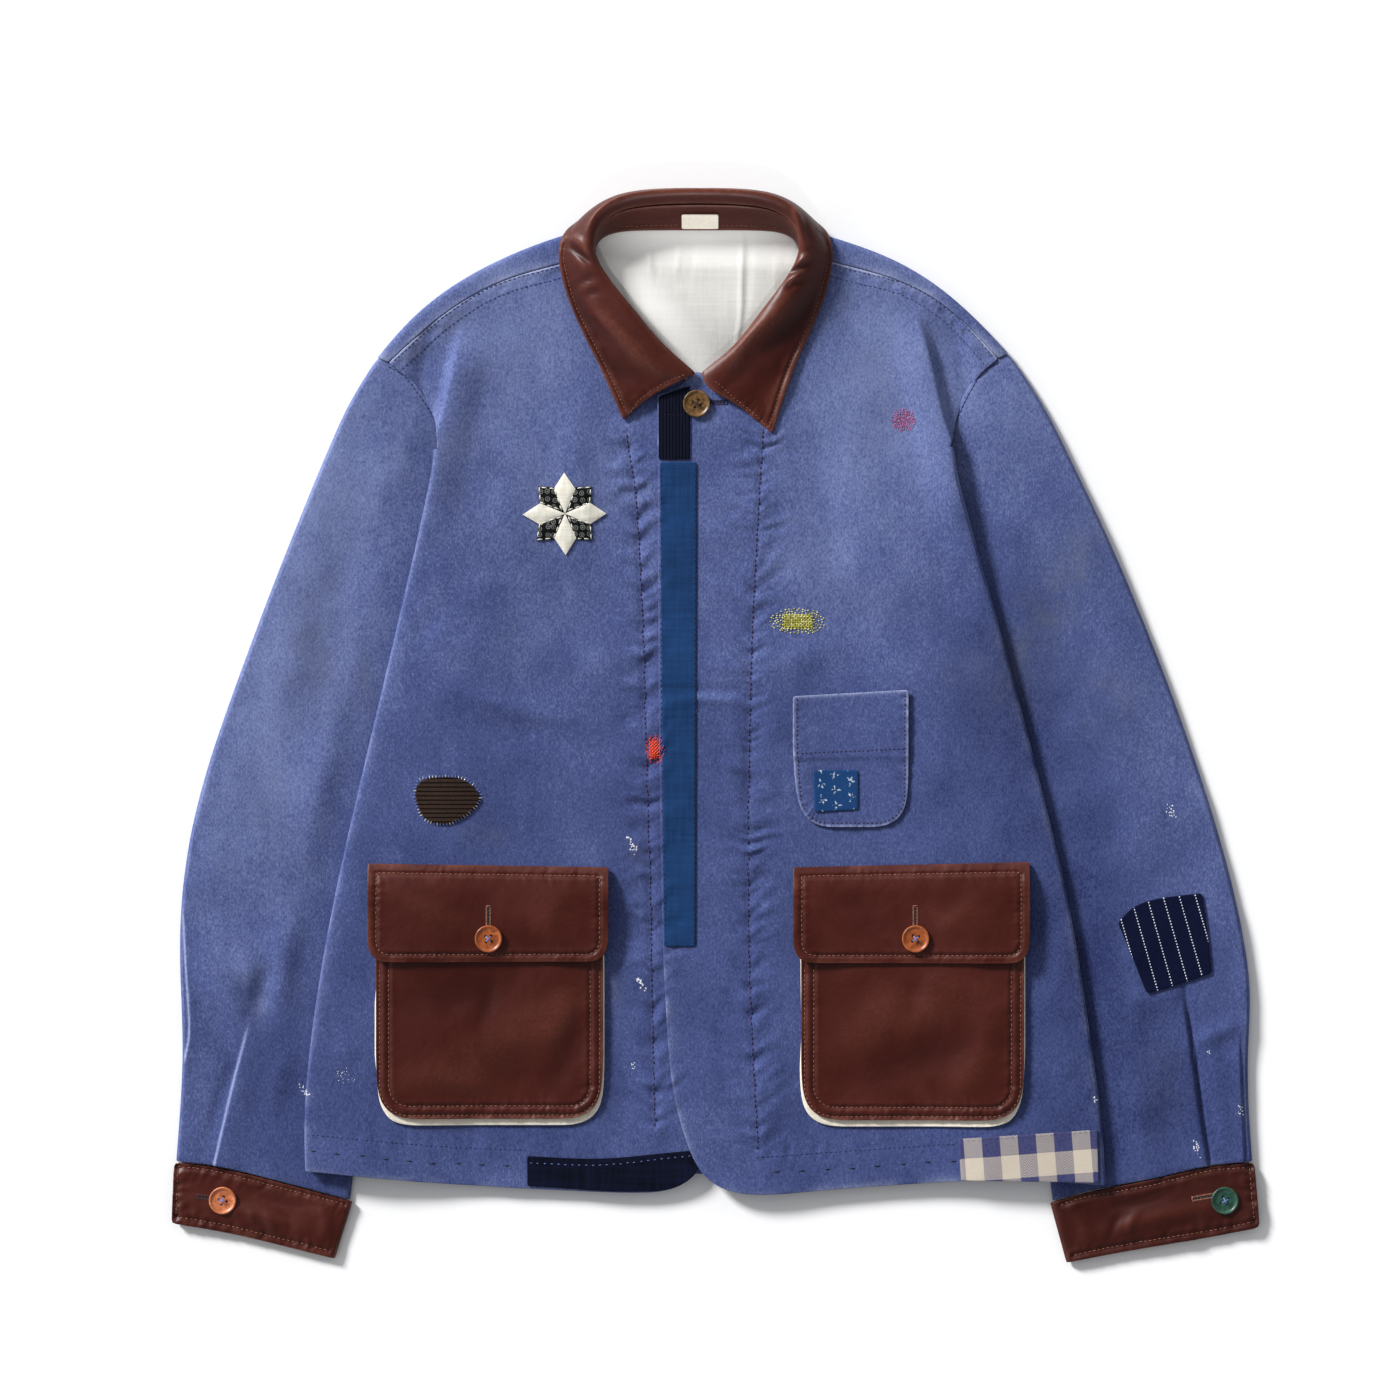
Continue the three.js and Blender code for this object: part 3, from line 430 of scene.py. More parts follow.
def sewnSheet(nodeName, pieceName, levels, rim, fineTop, rubbed):
    # a copy of the cut piece: merged, quads again, its rims creased, then softened
    source = frame["nodes"][nodeName].data
    bm = bmesh.new()
    corners = [bm.verts.new(v.co) for v in source.vertices]
    for face in source.polygons:
        bm.faces.new([corners[i] for i in face.vertices])
    bmesh.ops.remove_doubles(bm, verts=bm.verts, dist=0.00002)
    bmesh.ops.join_triangles(bm, faces=bm.faces, angle_face_threshold=0.7, angle_shape_threshold=1.2)
    crease = bm.edges.layers.float.new("crease_edge")
    edge = []
    for e in bm.edges:
        if len(e.link_faces) == 2 and e.calc_face_angle() > 0.87:
            e[crease] = rim
            count = max(1, int(e.calc_length() / (2 * mm)))
            edge += [e.verts[0].co.lerp(e.verts[1].co, k / count) for k in range(count)]
    mesh = bpy.data.meshes.new(pieceName)
    bm.to_mesh(mesh)
    bm.free()
    piece = bpy.data.objects.new(pieceName, mesh)
    bpy.context.scene.collection.objects.link(piece)
    pick(piece)
    soften = piece.modifiers.new("soften", "SUBSURF")
    soften.levels = soften.render_levels = levels
    bpy.ops.object.modifier_apply(modifier="soften")
    for again in range(fineTop):  # finer faces where the cloth shows
        deselectFaces()
        centres, normals = (np.empty(3 * len(mesh.polygons), np.float32) for k in range(2))
        mesh.polygons.foreach_get("center", centres)
        mesh.polygons.foreach_get("normal", normals)
        shown = (normals[2::3] > 0.35) & showsFine(nodeName, again, centres[0::3] / mm, centres[1::3] / mm)
        mesh.polygons.foreach_set("select", shown)
        bpy.ops.object.mode_set(mode="EDIT")
        bpy.ops.mesh.subdivide(number_cuts=1)
        bpy.ops.object.mode_set(mode="OBJECT")
    piece.data.polygons.foreach_set("use_smooth", [True] * len(piece.data.polygons))
    tree = KDTree(len(edge))
    for i, p in enumerate(edge):
        tree.insert(p, i)
    tree.balance()
    reach = np.array([tree.find(v.co)[2] for v in piece.data.vertices]) / mm
    points = pointsOf(piece)
    amount, wide, patchy = rubbed
    worn = amount * np.exp(-reach / wide) * (1 - patchy + patchy * softNoise(points[:, 0], points[:, 1], 13,
        61))
    setAttribute(piece, "wear", np.clip(worn, 0, 1))
    return piece

def declare(piece, nodeName, material):
    piece.data.materials.clear()
    piece.data.materials.append(material)
    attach(piece, "root")
    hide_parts(nodeName)

# Cotton moleskin: a dense satin weave with a brushed face, piece-dyed indigo blue and washed until
# it fades in clouds, so it looks soft and dull, streaked up and down, pale along each worn edge; its fade map
# also holds painted shade on the left sleeve.
# Its threads are drawn coarser than they are, so that they show.
moleskinLook = {
    # the rub colour marks worn edges and also paints the highlight along the sleeve pleats
    "deep": "272f56", "mid": "475280", "pale": "7681ab", "rubAndHighlight": "a3abc9", "soil": "565a66",
    "threadMm": 1.2, "cloudMm": 46, "napMm": 3.0,
}

def makeMoleskin():
    look = moleskinLook
    material, tree, shader, place = startMaterial("cottonMoleskin", 0.92, 0.06, 0.04)
    fade, soil, wear = [addNode(tree, "Attribute", {"attribute_name": n}).outputs["Fac"] for n in ("fade",
        "soil", "wear")]
    drawn = addNode(tree, "Mapping", None, {"Vector": place, "Scale": (1, 0.55, 1)}).outputs[0]
    thread = addNode(tree, "TexNoise", None, {"Vector": drawn, "Scale": perMm(look["threadMm"]),
                                              "Detail": 3.0,
                                              "Roughness": 0.65}).outputs["Fac"]
    nap = addNode(tree, "TexNoise", None, {"Vector": drawn, "Scale": perMm(look["napMm"]), "Detail": 4.0,
                                           "Roughness": 0.6}).outputs["Fac"]
    cloud = addNode(tree, "TexNoise", None, {"Vector": place, "Scale": perMm(look["cloudMm"]), "Detail": 5.0,
                                             "Roughness": 0.6}).outputs["Fac"]
    # the fade attribute holds the cloth's fading and painted shade
    tone = fade
    for source, amount in ((thread, 0.92), (nap, 0.3), (cloud, 0.22)):
        swing = addNode(tree, "Math", {"operation": "MULTIPLY_ADD"},
                        {0: source, 1: amount, 2: -amount / 2}).outputs[0]
        tone = addNode(tree, "Math", {"operation": "ADD"}, {0: tone, 1: swing}).outputs[0]
    ramp = addNode(tree, "ValToRGB", None, {"Fac": tone})
    spreadColours(ramp, (0.08, look["deep"]), (0.5, look["mid"]), (0.95, look["pale"]))
    dirty = addNode(tree, "Math", {"operation": "MULTIPLY"}, {0: soil, 1: nap}).outputs[0]
    dirty = addNode(tree, "Math", {"operation": "MULTIPLY", "use_clamp": True}, {0: dirty, 1: 1.5}).outputs[0]
    stained = addNode(tree, "Mix", {"data_type": "RGBA"},
                      {0: dirty, 6: ramp.outputs[0], 7: linear(look["soil"])}).outputs[2]
    # worn edges, and the painted highlight along the pleats, take the rub colour
    rubbed = addNode(tree, "Math", {"operation": "MULTIPLY", "use_clamp": True},
                     {0: wear, 1: thread}).outputs[0]
    rubbed = addNode(tree, "Math", {"operation": "MULTIPLY", "use_clamp": True},
                     {0: rubbed, 1: 1.5}).outputs[0]
    colour = addNode(tree, "Mix", {"data_type": "RGBA"},
                     {0: rubbed, 6: stained, 7: linear(look["rubAndHighlight"])}).outputs[2]
    height = addNode(tree, "Math", {"operation": "ADD"}, {0: thread, 1: nap}).outputs[0]
    bump = addNode(tree, "Bump", None, {"Height": height, "Strength": 0.35, "Distance": 0.0005}).outputs[0]
    connect(tree, shader, {"Base Color": colour, "Normal": bump})
    shader.inputs["Sheen Tint"].default_value = linear("b9c2e4")
    return material

# Full-grain calf leather, drum-dyed brown with an aniline finish: fine pebbled grain, satin sheen,
# paler along rubbed edges. Darker in its creases and paler where it is bent up, partly its own pull-up and
# partly painted shade and painted highlight; the left cuff is painted darker all over as painted shade.
# Its grain is drawn coarser than it is, so that it shows.
# the rub colour marks rubbed edges and also paints the highlight on bent-up ridges
leatherLook = {"deep": "2b0a06", "mid": "40130b", "warm": "551f16", "rubAndHighlight": "7d4a3a", "grainMm": 1.2,
               "pullMm": 52}

def makeLeather():
    look = leatherLook
    material, tree, shader, place = startMaterial("anilineCalfLeather", 0.4, 0.27)
    wear = addNode(tree, "Attribute", {"attribute_name": "wear"}).outputs["Fac"]
    cells = addNode(tree, "TexVoronoi", {"feature": "SMOOTH_F1"},
                    {"Vector": place, "Scale": perMm(look["grainMm"]),
                                                                   "Smoothness": 0.5}).outputs["Distance"]
    fine = addNode(tree, "TexNoise", None, {"Vector": place, "Scale": perMm(look["grainMm"] * 2),
                                            "Detail": 4.0,
                                            "Roughness": 0.6}).outputs["Fac"]
    pull = addNode(tree, "TexNoise", None, {"Vector": place, "Scale": perMm(look["pullMm"]), "Detail": 4.0,
                                            "Roughness": 0.55, "Distortion": 0.5}).outputs["Fac"]
    tone = addNode(tree, "Math", {"operation": "MULTIPLY_ADD"}, {0: pull, 1: 0.6, 2: 0.1}).outputs[0]
    tone = addNode(tree, "Math", {"operation": "MULTIPLY_ADD"}, {0: fine, 1: 0.2, 2: tone}).outputs[0]
    ramp = addNode(tree, "ValToRGB", None, {"Fac": tone})
    spreadColours(ramp, (0.12, look["deep"]), (0.5, look["mid"]), (0.9, look["warm"]))
    # wear carries rubbed edges and the painted highlight on bent-up ridges
    rubbed = addNode(tree, "Math", {"operation": "MULTIPLY", "use_clamp": True},
                     {0: wear, 1: fine}).outputs[0]
    colour = addNode(tree, "Mix", {"data_type": "RGBA"},
                     {0: rubbed, 6: ramp.outputs[0], 7: linear(look["rubAndHighlight"])}).outputs[2]
    # painted shade: darker in the creases and over the left cuff, partly the leather's own darkening in its
    # creases
    creased = addNode(tree, "Attribute", {"attribute_name": "soil"}).outputs["Fac"]
    creased = addNode(tree, "Math", {"operation": "MULTIPLY"}, {0: creased, 1: 0.8}).outputs[0]
    colour = addNode(tree, "Mix", {"data_type": "RGBA"},
                     {0: creased, 6: colour, 7: linear(look["deep"])}).outputs[2]
    gloss = addNode(tree, "MapRange", None, {"Value": pull, "From Min": 0.3, "From Max": 0.7, "To Min": 0.36,
                                             "To Max": 0.5}).outputs[0]
    height = addNode(tree, "Math", {"operation": "MULTIPLY_ADD"}, {0: cells, 1: 0.6, 2: fine}).outputs[0]
    bump = addNode(tree, "Bump", None, {"Height": height, "Strength": 0.16, "Distance": 0.0004}).outputs[0]
    soft = addNode(tree, "Bump", None, {"Height": pull, "Strength": 0.3, "Distance": 0.004,
                                        "Normal": bump}).outputs[0]
    connect(tree, shader, {"Base Color": colour, "Roughness": gloss, "Normal": soft})
    return material

# Woven cottons and linen: two sets of threads crossing, each with its own slubs, so the cloth looks
# faintly barred both ways. The threads are drawn coarser than they are, so that they show.
wovenLooks = {
    # the linen's paler colour is painted light, laid where the collar casts its shadow
    "washedLinen": {"light": "c9c8c4", "dark": "b7b5b0", "paintedLight": "f3f2ee", "threadMm": 1.1, "slub": 0.55,
                    "rough": 0.85},
    "creamCanvas": {"light": "efe8da", "dark": "d8cfbd", "threadMm": 1.3, "slub": 0.3, "rough": 0.85},
    "labelTape": {"light": "faf3e6", "dark": "ebe2d0", "threadMm": 0.9, "slub": 0.25, "rough": 0.7},
    "tealCotton": {"light": "214373", "dark": "142a4c", "threadMm": 1.2, "slub": 0.8, "rough": 0.85},
    "navyTwill": {"light": "10152c", "dark": "05070f", "threadMm": 1.4, "slub": 0.4, "rough": 0.8},
    "creamQuilting": {"light": "efece0", "dark": "cfcabb", "threadMm": 1.0, "slub": 0.3, "rough": 0.85},
}

def makeWoven(name):
    look = wovenLooks[name]
    material, tree, shader, place = startMaterial(name, look["rough"], 0.06)
    total = None
    for turn, stretch in ((0, (1, 0.06, 1)), (1, (0.06, 1, 1))):
        along = addNode(tree, "Mapping", None, {"Vector": place, "Scale": stretch}).outputs[0]
        slub = addNode(tree, "TexNoise", None,
                       {"Vector": along, "Scale": perMm(look["threadMm"] * 2.2), "Detail": 3.0,
                                                "Roughness": 0.7}).outputs["Fac"]
        total = slub if total is None else addNode(tree, "Math", {"operation": "ADD"},
                                                   {0: total, 1: slub}).outputs[0]
    cloud = addNode(tree, "TexNoise", None, {"Vector": place, "Scale": perMm(24),
                                             "Detail": 4.0}).outputs["Fac"]
    tone = addNode(tree, "Math", {"operation": "MULTIPLY_ADD"}, {0: cloud, 1: 0.7, 2: -0.35}).outputs[0]
    tone = addNode(tree, "Math", {"operation": "ADD"}, {0: total, 1: tone}).outputs[0]
    tone = addNode(tree, "MapRange", None, {"Value": tone, "From Min": 1 - look["slub"] * 0.5 - 0.15,
                                            "From Max": 1 + look["slub"] * 0.5 + 0.15}).outputs[0]
    colour = addNode(tree, "Mix", {"data_type": "RGBA"},
                     {0: tone, 6: linear(look["dark"]), 7: linear(look["light"])}).outputs[2]
    if "paintedLight" in look:  # painted light: paler under the stand and along the collar's shadow, lifting the shade cast there
        fade = addNode(tree, "Attribute", {"attribute_name": "fade"}).outputs["Fac"]
        colour = addNode(tree, "Mix", {"data_type": "RGBA"},
                         {0: fade, 6: colour, 7: linear(look["paintedLight"])}).outputs[2]
    bump = addNode(tree, "Bump", None, {"Height": total, "Strength": 0.35, "Distance": 0.0004}).outputs[0]
    connect(tree, shader, {"Base Color": colour, "Normal": bump})
    return material

# Figured cloths: each is a base cloth and a repeat worked out in millimetres from one point of its patch
def patchPlace(tree, place, centre, turn, pitch):  # plan place on a patch, in repeats
    turned = addNode(tree, "Mapping", {"vector_type": "TEXTURE"}, {
        "Vector": place, "Location": (centre[0] * mm, centre[1] * mm, 0),
        "Rotation": (0, 0, math.radians(turn)),
        "Scale": (pitch[0] * mm, pitch[1] * mm, 1)}).outputs[0]
    split = addNode(tree, "SeparateXYZ", None, {0: turned})
    return split.outputs[0], split.outputs[1]

# Cotton flannel gingham: cream and indigo yarn, the mixed squares showing a small herringbone, brushed soft
checkLook = {"cream": "c3b8a8", "indigo": "363a66", "corner": (185, -335.5), "turn": 4.5,
             "squareMm": (13.3, 17)}

def makeCheck():
    look = checkLook
    material, tree, shader, place = startMaterial("checkFlannel", 0.95, 0.05, 0.05)
    u, v = patchPlace(tree, place, look["corner"], look["turn"], look["squareMm"])
    bands = []
    for value in (u, v):
        cell = addNode(tree, "Math", {"operation": "FLOOR"}, {0: value}).outputs[0]
        half = addNode(tree, "Math", {"operation": "MULTIPLY"}, {0: cell, 1: 0.5}).outputs[0]
        part = addNode(tree, "Math", {"operation": "FRACT"}, {0: half}).outputs[0]
        bands.append(addNode(tree, "Math", {"operation": "MULTIPLY"}, {0: part, 1: 2.0}).outputs[0])
    zig = addNode(tree, "Math", {"operation": "PINGPONG"}, {0: u, 1: 0.125}).outputs[0]
    lean = addNode(tree, "Math", {"operation": "ADD"}, {0: zig, 1: v}).outputs[0]
    rib = addNode(tree, "Math", {"operation": "MULTIPLY"}, {0: lean, 1: 9.0}).outputs[0]
    twill = addNode(tree, "Math", {"operation": "PINGPONG"}, {0: rib, 1: 0.5}).outputs[0]
    sharp = addNode(tree, "MapRange", None, {"Value": twill, "From Min": 0.16, "From Max": 0.34}).outputs[0]
    fuzz = addNode(tree, "TexNoise", None, {"Vector": place, "Scale": perMm(1.6),
                                            "Detail": 3.0}).outputs["Fac"]
    # warp shows on one half of the twill and weft on the other
    seen = addNode(tree, "Mix", {"data_type": "FLOAT"}, {0: sharp, 2: bands[0], 3: bands[1]}).outputs[0]
    soft = addNode(tree, "Math", {"operation": "MULTIPLY_ADD", "use_clamp": True},
                   {0: fuzz, 1: 0.5, 2: -0.25}).outputs[0]
    seen = addNode(tree, "Math", {"operation": "MULTIPLY_ADD", "use_clamp": True},
                   {0: seen, 1: 0.96, 2: soft}).outputs[0]
    colour = addNode(tree, "Mix", {"data_type": "RGBA"},
                     {0: seen, 6: linear(look["cream"]), 7: linear(look["indigo"])}).outputs[2]
    bump = addNode(tree, "Bump", None, {"Height": fuzz, "Strength": 0.5, "Distance": 0.0006}).outputs[0]
    connect(tree, shader, {"Base Color": colour, "Normal": bump})
    return material

# Navy cotton shirting with a dotted white pinstripe, each dot one raised white yarn float
pinstripeLook = {"navy": "0f1534", "dark": "070a1d", "chalk": "dbe2f0", "start": (330.6, -126.7),
                 "turn": 16.0,
                 "stripeMm": 11.5, "dotMm": 2.2}

def makePinstripe():
    look = pinstripeLook
    material, tree, shader, place = startMaterial("pinstripeCotton", 0.85, 0.06)
    u, v = patchPlace(tree, place, look["start"], look["turn"], (look["stripeMm"], look["dotMm"]))
    across = addNode(tree, "Math", {"operation": "PINGPONG"}, {0: u, 1: 0.5}).outputs[0]
    line = addNode(tree, "Math", {"operation": "LESS_THAN"}, {0: across, 1: 0.032}).outputs[0]
    dot = addNode(tree, "Math", {"operation": "PINGPONG"}, {0: v, 1: 0.5}).outputs[0]
    dot = addNode(tree, "Math", {"operation": "LESS_THAN"}, {0: dot, 1: 0.23}).outputs[0]
    mark = addNode(tree, "Math", {"operation": "MULTIPLY"}, {0: line, 1: dot}).outputs[0]
    grain = addNode(tree, "TexNoise", None, {"Vector": place, "Scale": perMm(2.2),
                                             "Detail": 4.0}).outputs["Fac"]
    base = addNode(tree, "Mix", {"data_type": "RGBA"},
                   {0: grain, 6: linear(look["dark"]), 7: linear(look["navy"])}).outputs[2]
    colour = addNode(tree, "Mix", {"data_type": "RGBA"},
                     {0: mark, 6: base, 7: linear(look["chalk"])}).outputs[2]
    height = addNode(tree, "Math", {"operation": "ADD"}, {0: grain, 1: mark}).outputs[0]
    bump = addNode(tree, "Bump", None, {"Height": height, "Strength": 0.4, "Distance": 0.0004}).outputs[0]
    connect(tree, shader, {"Base Color": colour, "Normal": bump})
    return material

# Printed lawn: small sprigs of three leaves on a stalk, in white on mid blue, set in a half-drop repeat
floralLook = {"blue": "1f4577", "deep": "16335a", "white": "b9c4cd", "start": (78, -42), "turn": 4.0,
              "sprigMm": (10.6, 11.4),
              "leaf": (0.14, 0.06), "lacyMm": 1.7}

def makeFloral():
    look = floralLook
    material, tree, shader, place = startMaterial("sprigLawn", 0.85, 0.06)
    u, v = patchPlace(tree, place, look["start"], look["turn"], look["sprigMm"])
    column = addNode(tree, "Math", {"operation": "ROUND"}, {0: u}).outputs[0]
    drop = addNode(tree, "Math", {"operation": "MULTIPLY_ADD"}, {0: column, 1: 0.5, 2: v}).outputs[0]
    row = addNode(tree, "Math", {"operation": "ROUND"}, {0: drop}).outputs[0]
    x = addNode(tree, "Math", {"operation": "SUBTRACT"}, {0: u, 1: column}).outputs[0]
    y = addNode(tree, "Math", {"operation": "SUBTRACT"}, {0: drop, 1: row}).outputs[0]
    tilt = addNode(tree, "Math", {"operation": "MULTIPLY"}, {0: column, 1: 1.9}).outputs[0]
    sprig = None
    for angle in (20, 80, 140, 250):
        turn = addNode(tree, "Math", {"operation": "ADD"}, {0: tilt, 1: math.radians(angle)}).outputs[0]
        spot = addNode(tree, "CombineXYZ", None, {0: x, 1: y}).outputs[0]
        leaf = addNode(tree, "VectorRotate", {"rotation_type": "Z_AXIS"},
                       {"Vector": spot, "Angle": turn}).outputs[0]
        leaf = addNode(tree, "Mapping", {"vector_type": "TEXTURE"}, {
            "Vector": leaf, "Location": (0.2, 0, 0), "Scale": (*look["leaf"], 1)}).outputs[0]
        size = addNode(tree, "VectorMath", {"operation": "LENGTH"}, {0: leaf}).outputs["Value"]
        inside = addNode(tree, "Math", {"operation": "LESS_THAN"}, {0: size, 1: 1.0}).outputs[0]
        sprig = inside if sprig is None else addNode(tree, "Math", {"operation": "MAXIMUM"},
                                                     {0: sprig, 1: inside}).outputs[0]
    grain = addNode(tree, "TexNoise", None, {"Vector": place, "Scale": perMm(2),
                                             "Detail": 4.0}).outputs["Fac"]
    lace = addNode(tree, "TexNoise", None, {"Vector": place, "Scale": perMm(look["lacyMm"]),
                                            "Detail": 2.0}).outputs["Fac"]
    lace = addNode(tree, "MapRange", None, {"Value": lace, "From Min": 0.44, "From Max": 0.56}).outputs[0]
    sprig = addNode(tree, "Math", {"operation": "MULTIPLY"}, {0: sprig, 1: lace}).outputs[0]
    base = addNode(tree, "Mix", {"data_type": "RGBA"},
                   {0: grain, 6: linear(look["deep"]), 7: linear(look["blue"])}).outputs[2]
    colour = addNode(tree, "Mix", {"data_type": "RGBA"},
                     {0: sprig, 6: base, 7: linear(look["white"])}).outputs[2]
    bump = addNode(tree, "Bump", None, {"Height": grain, "Strength": 0.3, "Distance": 0.0004}).outputs[0]
    connect(tree, shader, {"Base Color": colour, "Normal": bump})
    return material

# Ribbed cloths, raised in rows: corduroy's cut pile and the tweed's dark ribbed wool
ribLooks = {
    "pileCorduroy": {"light": "10142b", "dark": "020308", "ribMm": (2.4, 900), "depth": 0.0012, "rough": 0.8},
    "brownTweed": {"light": "403029", "dark": "0c0807", "ribMm": (900, 3.2), "depth": 0.0012, "rough": 0.95},
}

def makeRibbed(name):
    look = ribLooks[name]
    material, tree, shader, place = startMaterial(name, look["rough"], 0.05, 0.05)
    split = addNode(tree, "SeparateXYZ", None, {0: place})
    fuzz = addNode(tree, "TexNoise", None, {"Vector": place, "Scale": perMm(1.3), "Detail": 4.0,
                                            "Roughness": 0.7}).outputs["Fac"]
    height = None
    for axis, size in enumerate(look["ribMm"]):
        run = addNode(tree, "Math", {"operation": "MULTIPLY"},
                      {0: split.outputs[axis], 1: perMm(size)}).outputs[0]
        rib = addNode(tree, "Math", {"operation": "PINGPONG"}, {0: run, 1: 0.5}).outputs[0]
        rib = addNode(tree, "MapRange", {"interpolation_type": "SMOOTHSTEP"},
                      {"Value": rib, "From Min": 0.02, "From Max": 0.24}).outputs[0]
        height = rib if height is None else addNode(tree, "Math", {"operation": "MULTIPLY"},
                                                    {0: height, 1: rib}).outputs[0]
    tone = addNode(tree, "Math", {"operation": "MULTIPLY"}, {0: height, 1: fuzz}).outputs[0]
    tone = addNode(tree, "MapRange", None, {"Value": tone, "From Min": 0.0, "From Max": 0.75}).outputs[0]
    colour = addNode(tree, "Mix", {"data_type": "RGBA"},
                     {0: tone, 6: linear(look["dark"]), 7: linear(look["light"])}).outputs[2]
    total = addNode(tree, "Math", {"operation": "MULTIPLY_ADD"}, {0: fuzz, 1: 0.4, 2: height}).outputs[0]
    bump = addNode(tree, "Bump", None, {"Height": total, "Strength": 0.7,
                                        "Distance": look["depth"]}).outputs[0]
    connect(tree, shader, {"Base Color": colour, "Normal": bump})
    return material

# Printed quilting cotton: small pale rings and dots on near-black green
ringLook = {"ground": "121414", "ring": "989c99", "cellMm": 5.2}

def makeRingPrint():
    look = ringLook
    material, tree, shader, place = startMaterial("ringPrintCotton", 0.85, 0.06)
    cells = addNode(tree, "TexVoronoi", {"voronoi_dimensions": "2D"}, {
        "Vector": place, "Scale": perMm(look["cellMm"]), "Randomness": 0.35}).outputs["Distance"]
    ring = addNode(tree, "Math", {"operation": "COMPARE"}, {0: cells, 1: 0.3, 2: 0.05}).outputs[0]
    dot = addNode(tree, "Math", {"operation": "LESS_THAN"}, {0: cells, 1: 0.11}).outputs[0]
    mark = addNode(tree, "Math", {"operation": "MAXIMUM"}, {0: ring, 1: dot}).outputs[0]
    grain = addNode(tree, "TexNoise", None, {"Vector": place, "Scale": perMm(1.8),
                                             "Detail": 3.0}).outputs["Fac"]
    mark = addNode(tree, "Math", {"operation": "MULTIPLY"}, {0: mark, 1: grain}).outputs[0]
    colour = addNode(tree, "Mix", {"data_type": "RGBA"},
                     {0: mark, 6: linear(look["ground"]), 7: linear(look["ring"])}).outputs[2]
    bump = addNode(tree, "Bump", None, {"Height": grain, "Strength": 0.3, "Distance": 0.0004}).outputs[0]
    connect(tree, shader, {"Base Color": colour, "Normal": bump})
    return material

# Buttons: polished horn, and casein dyed through, turned and tumbled to a soft gloss
buttonLooks = {
    "polishedHorn": {"light": "7f5b2b", "dark": "3c260f", "streakMm": 5},
    "tanCasein": {"light": "a95a29", "dark": "743311", "streakMm": 7},
    "rustCasein": {"light": "cd7c52", "dark": "9c502c", "streakMm": 7},
    "greenCasein": {"light": "2c5445", "dark": "123026", "streakMm": 7},
}

def makeButtonFinish(name):
    look = buttonLooks[name]
    material, tree, shader, place = startMaterial(name, 0.32, 0.5)
    streak = addNode(tree, "TexNoise", None, {"Vector": place, "Scale": perMm(look["streakMm"]),
                                              "Detail": 4.0,
                                              "Distortion": 1.6}).outputs["Fac"]
    scuff = addNode(tree, "TexNoise", None, {"Vector": place, "Scale": perMm(1.2),
                                             "Detail": 2.0}).outputs["Fac"]
    tone = addNode(tree, "MapRange", None, {"Value": streak, "From Min": 0.3, "From Max": 0.7}).outputs[0]
    colour = addNode(tree, "Mix", {"data_type": "RGBA"},
                     {0: tone, 6: linear(look["dark"]), 7: linear(look["light"])}).outputs[2]
    gloss = addNode(tree, "MapRange", None, {"Value": scuff, "To Min": 0.25, "To Max": 0.5}).outputs[0]
    bump = addNode(tree, "Bump", None, {"Height": scuff, "Strength": 0.08, "Distance": 0.0002}).outputs[0]
    connect(tree, shader, {"Base Color": colour, "Roughness": gloss, "Normal": bump})
    return material

# Cotton and polyester sewing threads, twisted: a light and a dark side to each ply
threadLooks = {
    "tanThread": ("99674f", "5c3728"), "violetThread": ("3a2f5c", "1c1638"),
    "blueThread": ("39467c", "222b58"),
    "whiteThread": ("e6e3d8", "b9b5a8"), "limeThread": ("bdb945", "86822a"),
    "strawThread": ("e6e2a4", "c3bf78"),
    "orangeThread": ("ff5a1e", "c43a10"), "roseThread": ("c0426a", "8d2748"),
    "inkThread": ("131730", "080a18"),
    "skyThread": ("7f93c8", "4d5f9a"), "oxbloodThread": ("5a2a22", "2c120d"),
    "pinkThread": ("cc7aa2", "a25a8c"),
}

def makeThread(name):
    light, dark = threadLooks[name]
    material, tree, shader, place = startMaterial(name, 0.65, 0.3, 0.1)
    ply = addNode(tree, "TexNoise", None, {"Vector": place, "Scale": perMm(0.8),
                                           "Detail": 2.0}).outputs["Fac"]
    tone = addNode(tree, "MapRange", None, {"Value": ply, "From Min": 0.3, "From Max": 0.7}).outputs[0]
    colour = addNode(tree, "Mix", {"data_type": "RGBA"},
                     {0: tone, 6: linear(dark), 7: linear(light)}).outputs[2]
    bump = addNode(tree, "Bump", None, {"Height": ply, "Strength": 0.4, "Distance": 0.0002}).outputs[0]
    connect(tree, shader, {"Base Color": colour, "Normal": bump})
    return material

# Spattered emulsion paint: chalky, cracked into small crumbs
def makePaint():
    material, tree, shader, place = startMaterial("chalkyPaint", 0.8, 0.3)
    crack = addNode(tree, "TexVoronoi", {"feature": "DISTANCE_TO_EDGE"},
                    {"Vector": place, "Scale": perMm(1.5)}).outputs["Distance"]
    tone = addNode(tree, "MapRange", None, {"Value": crack, "From Max": 0.12}).outputs[0]
    colour = addNode(tree, "Mix", {"data_type": "RGBA"},
                     {0: tone, 6: linear("a9adc0"), 7: linear("eceef0")}).outputs[2]
    connect(tree, shader, {"Base Color": colour})
    return material

finishes = {"cottonMoleskin": makeMoleskin(), "anilineCalfLeather": makeLeather(),
            "checkFlannel": makeCheck(),
            "pinstripeCotton": makePinstripe(), "sprigLawn": makeFloral(), "ringPrint": makeRingPrint(),
            "chalkyPaint": makePaint()}
for looks, maker in ((wovenLooks, makeWoven), (ribLooks, makeRibbed), (buttonLooks, makeButtonFinish),
                     (threadLooks, makeThread)):
    for lookName in looks:
        finishes[lookName] = maker(lookName)
print("materials made:", len(finishes))

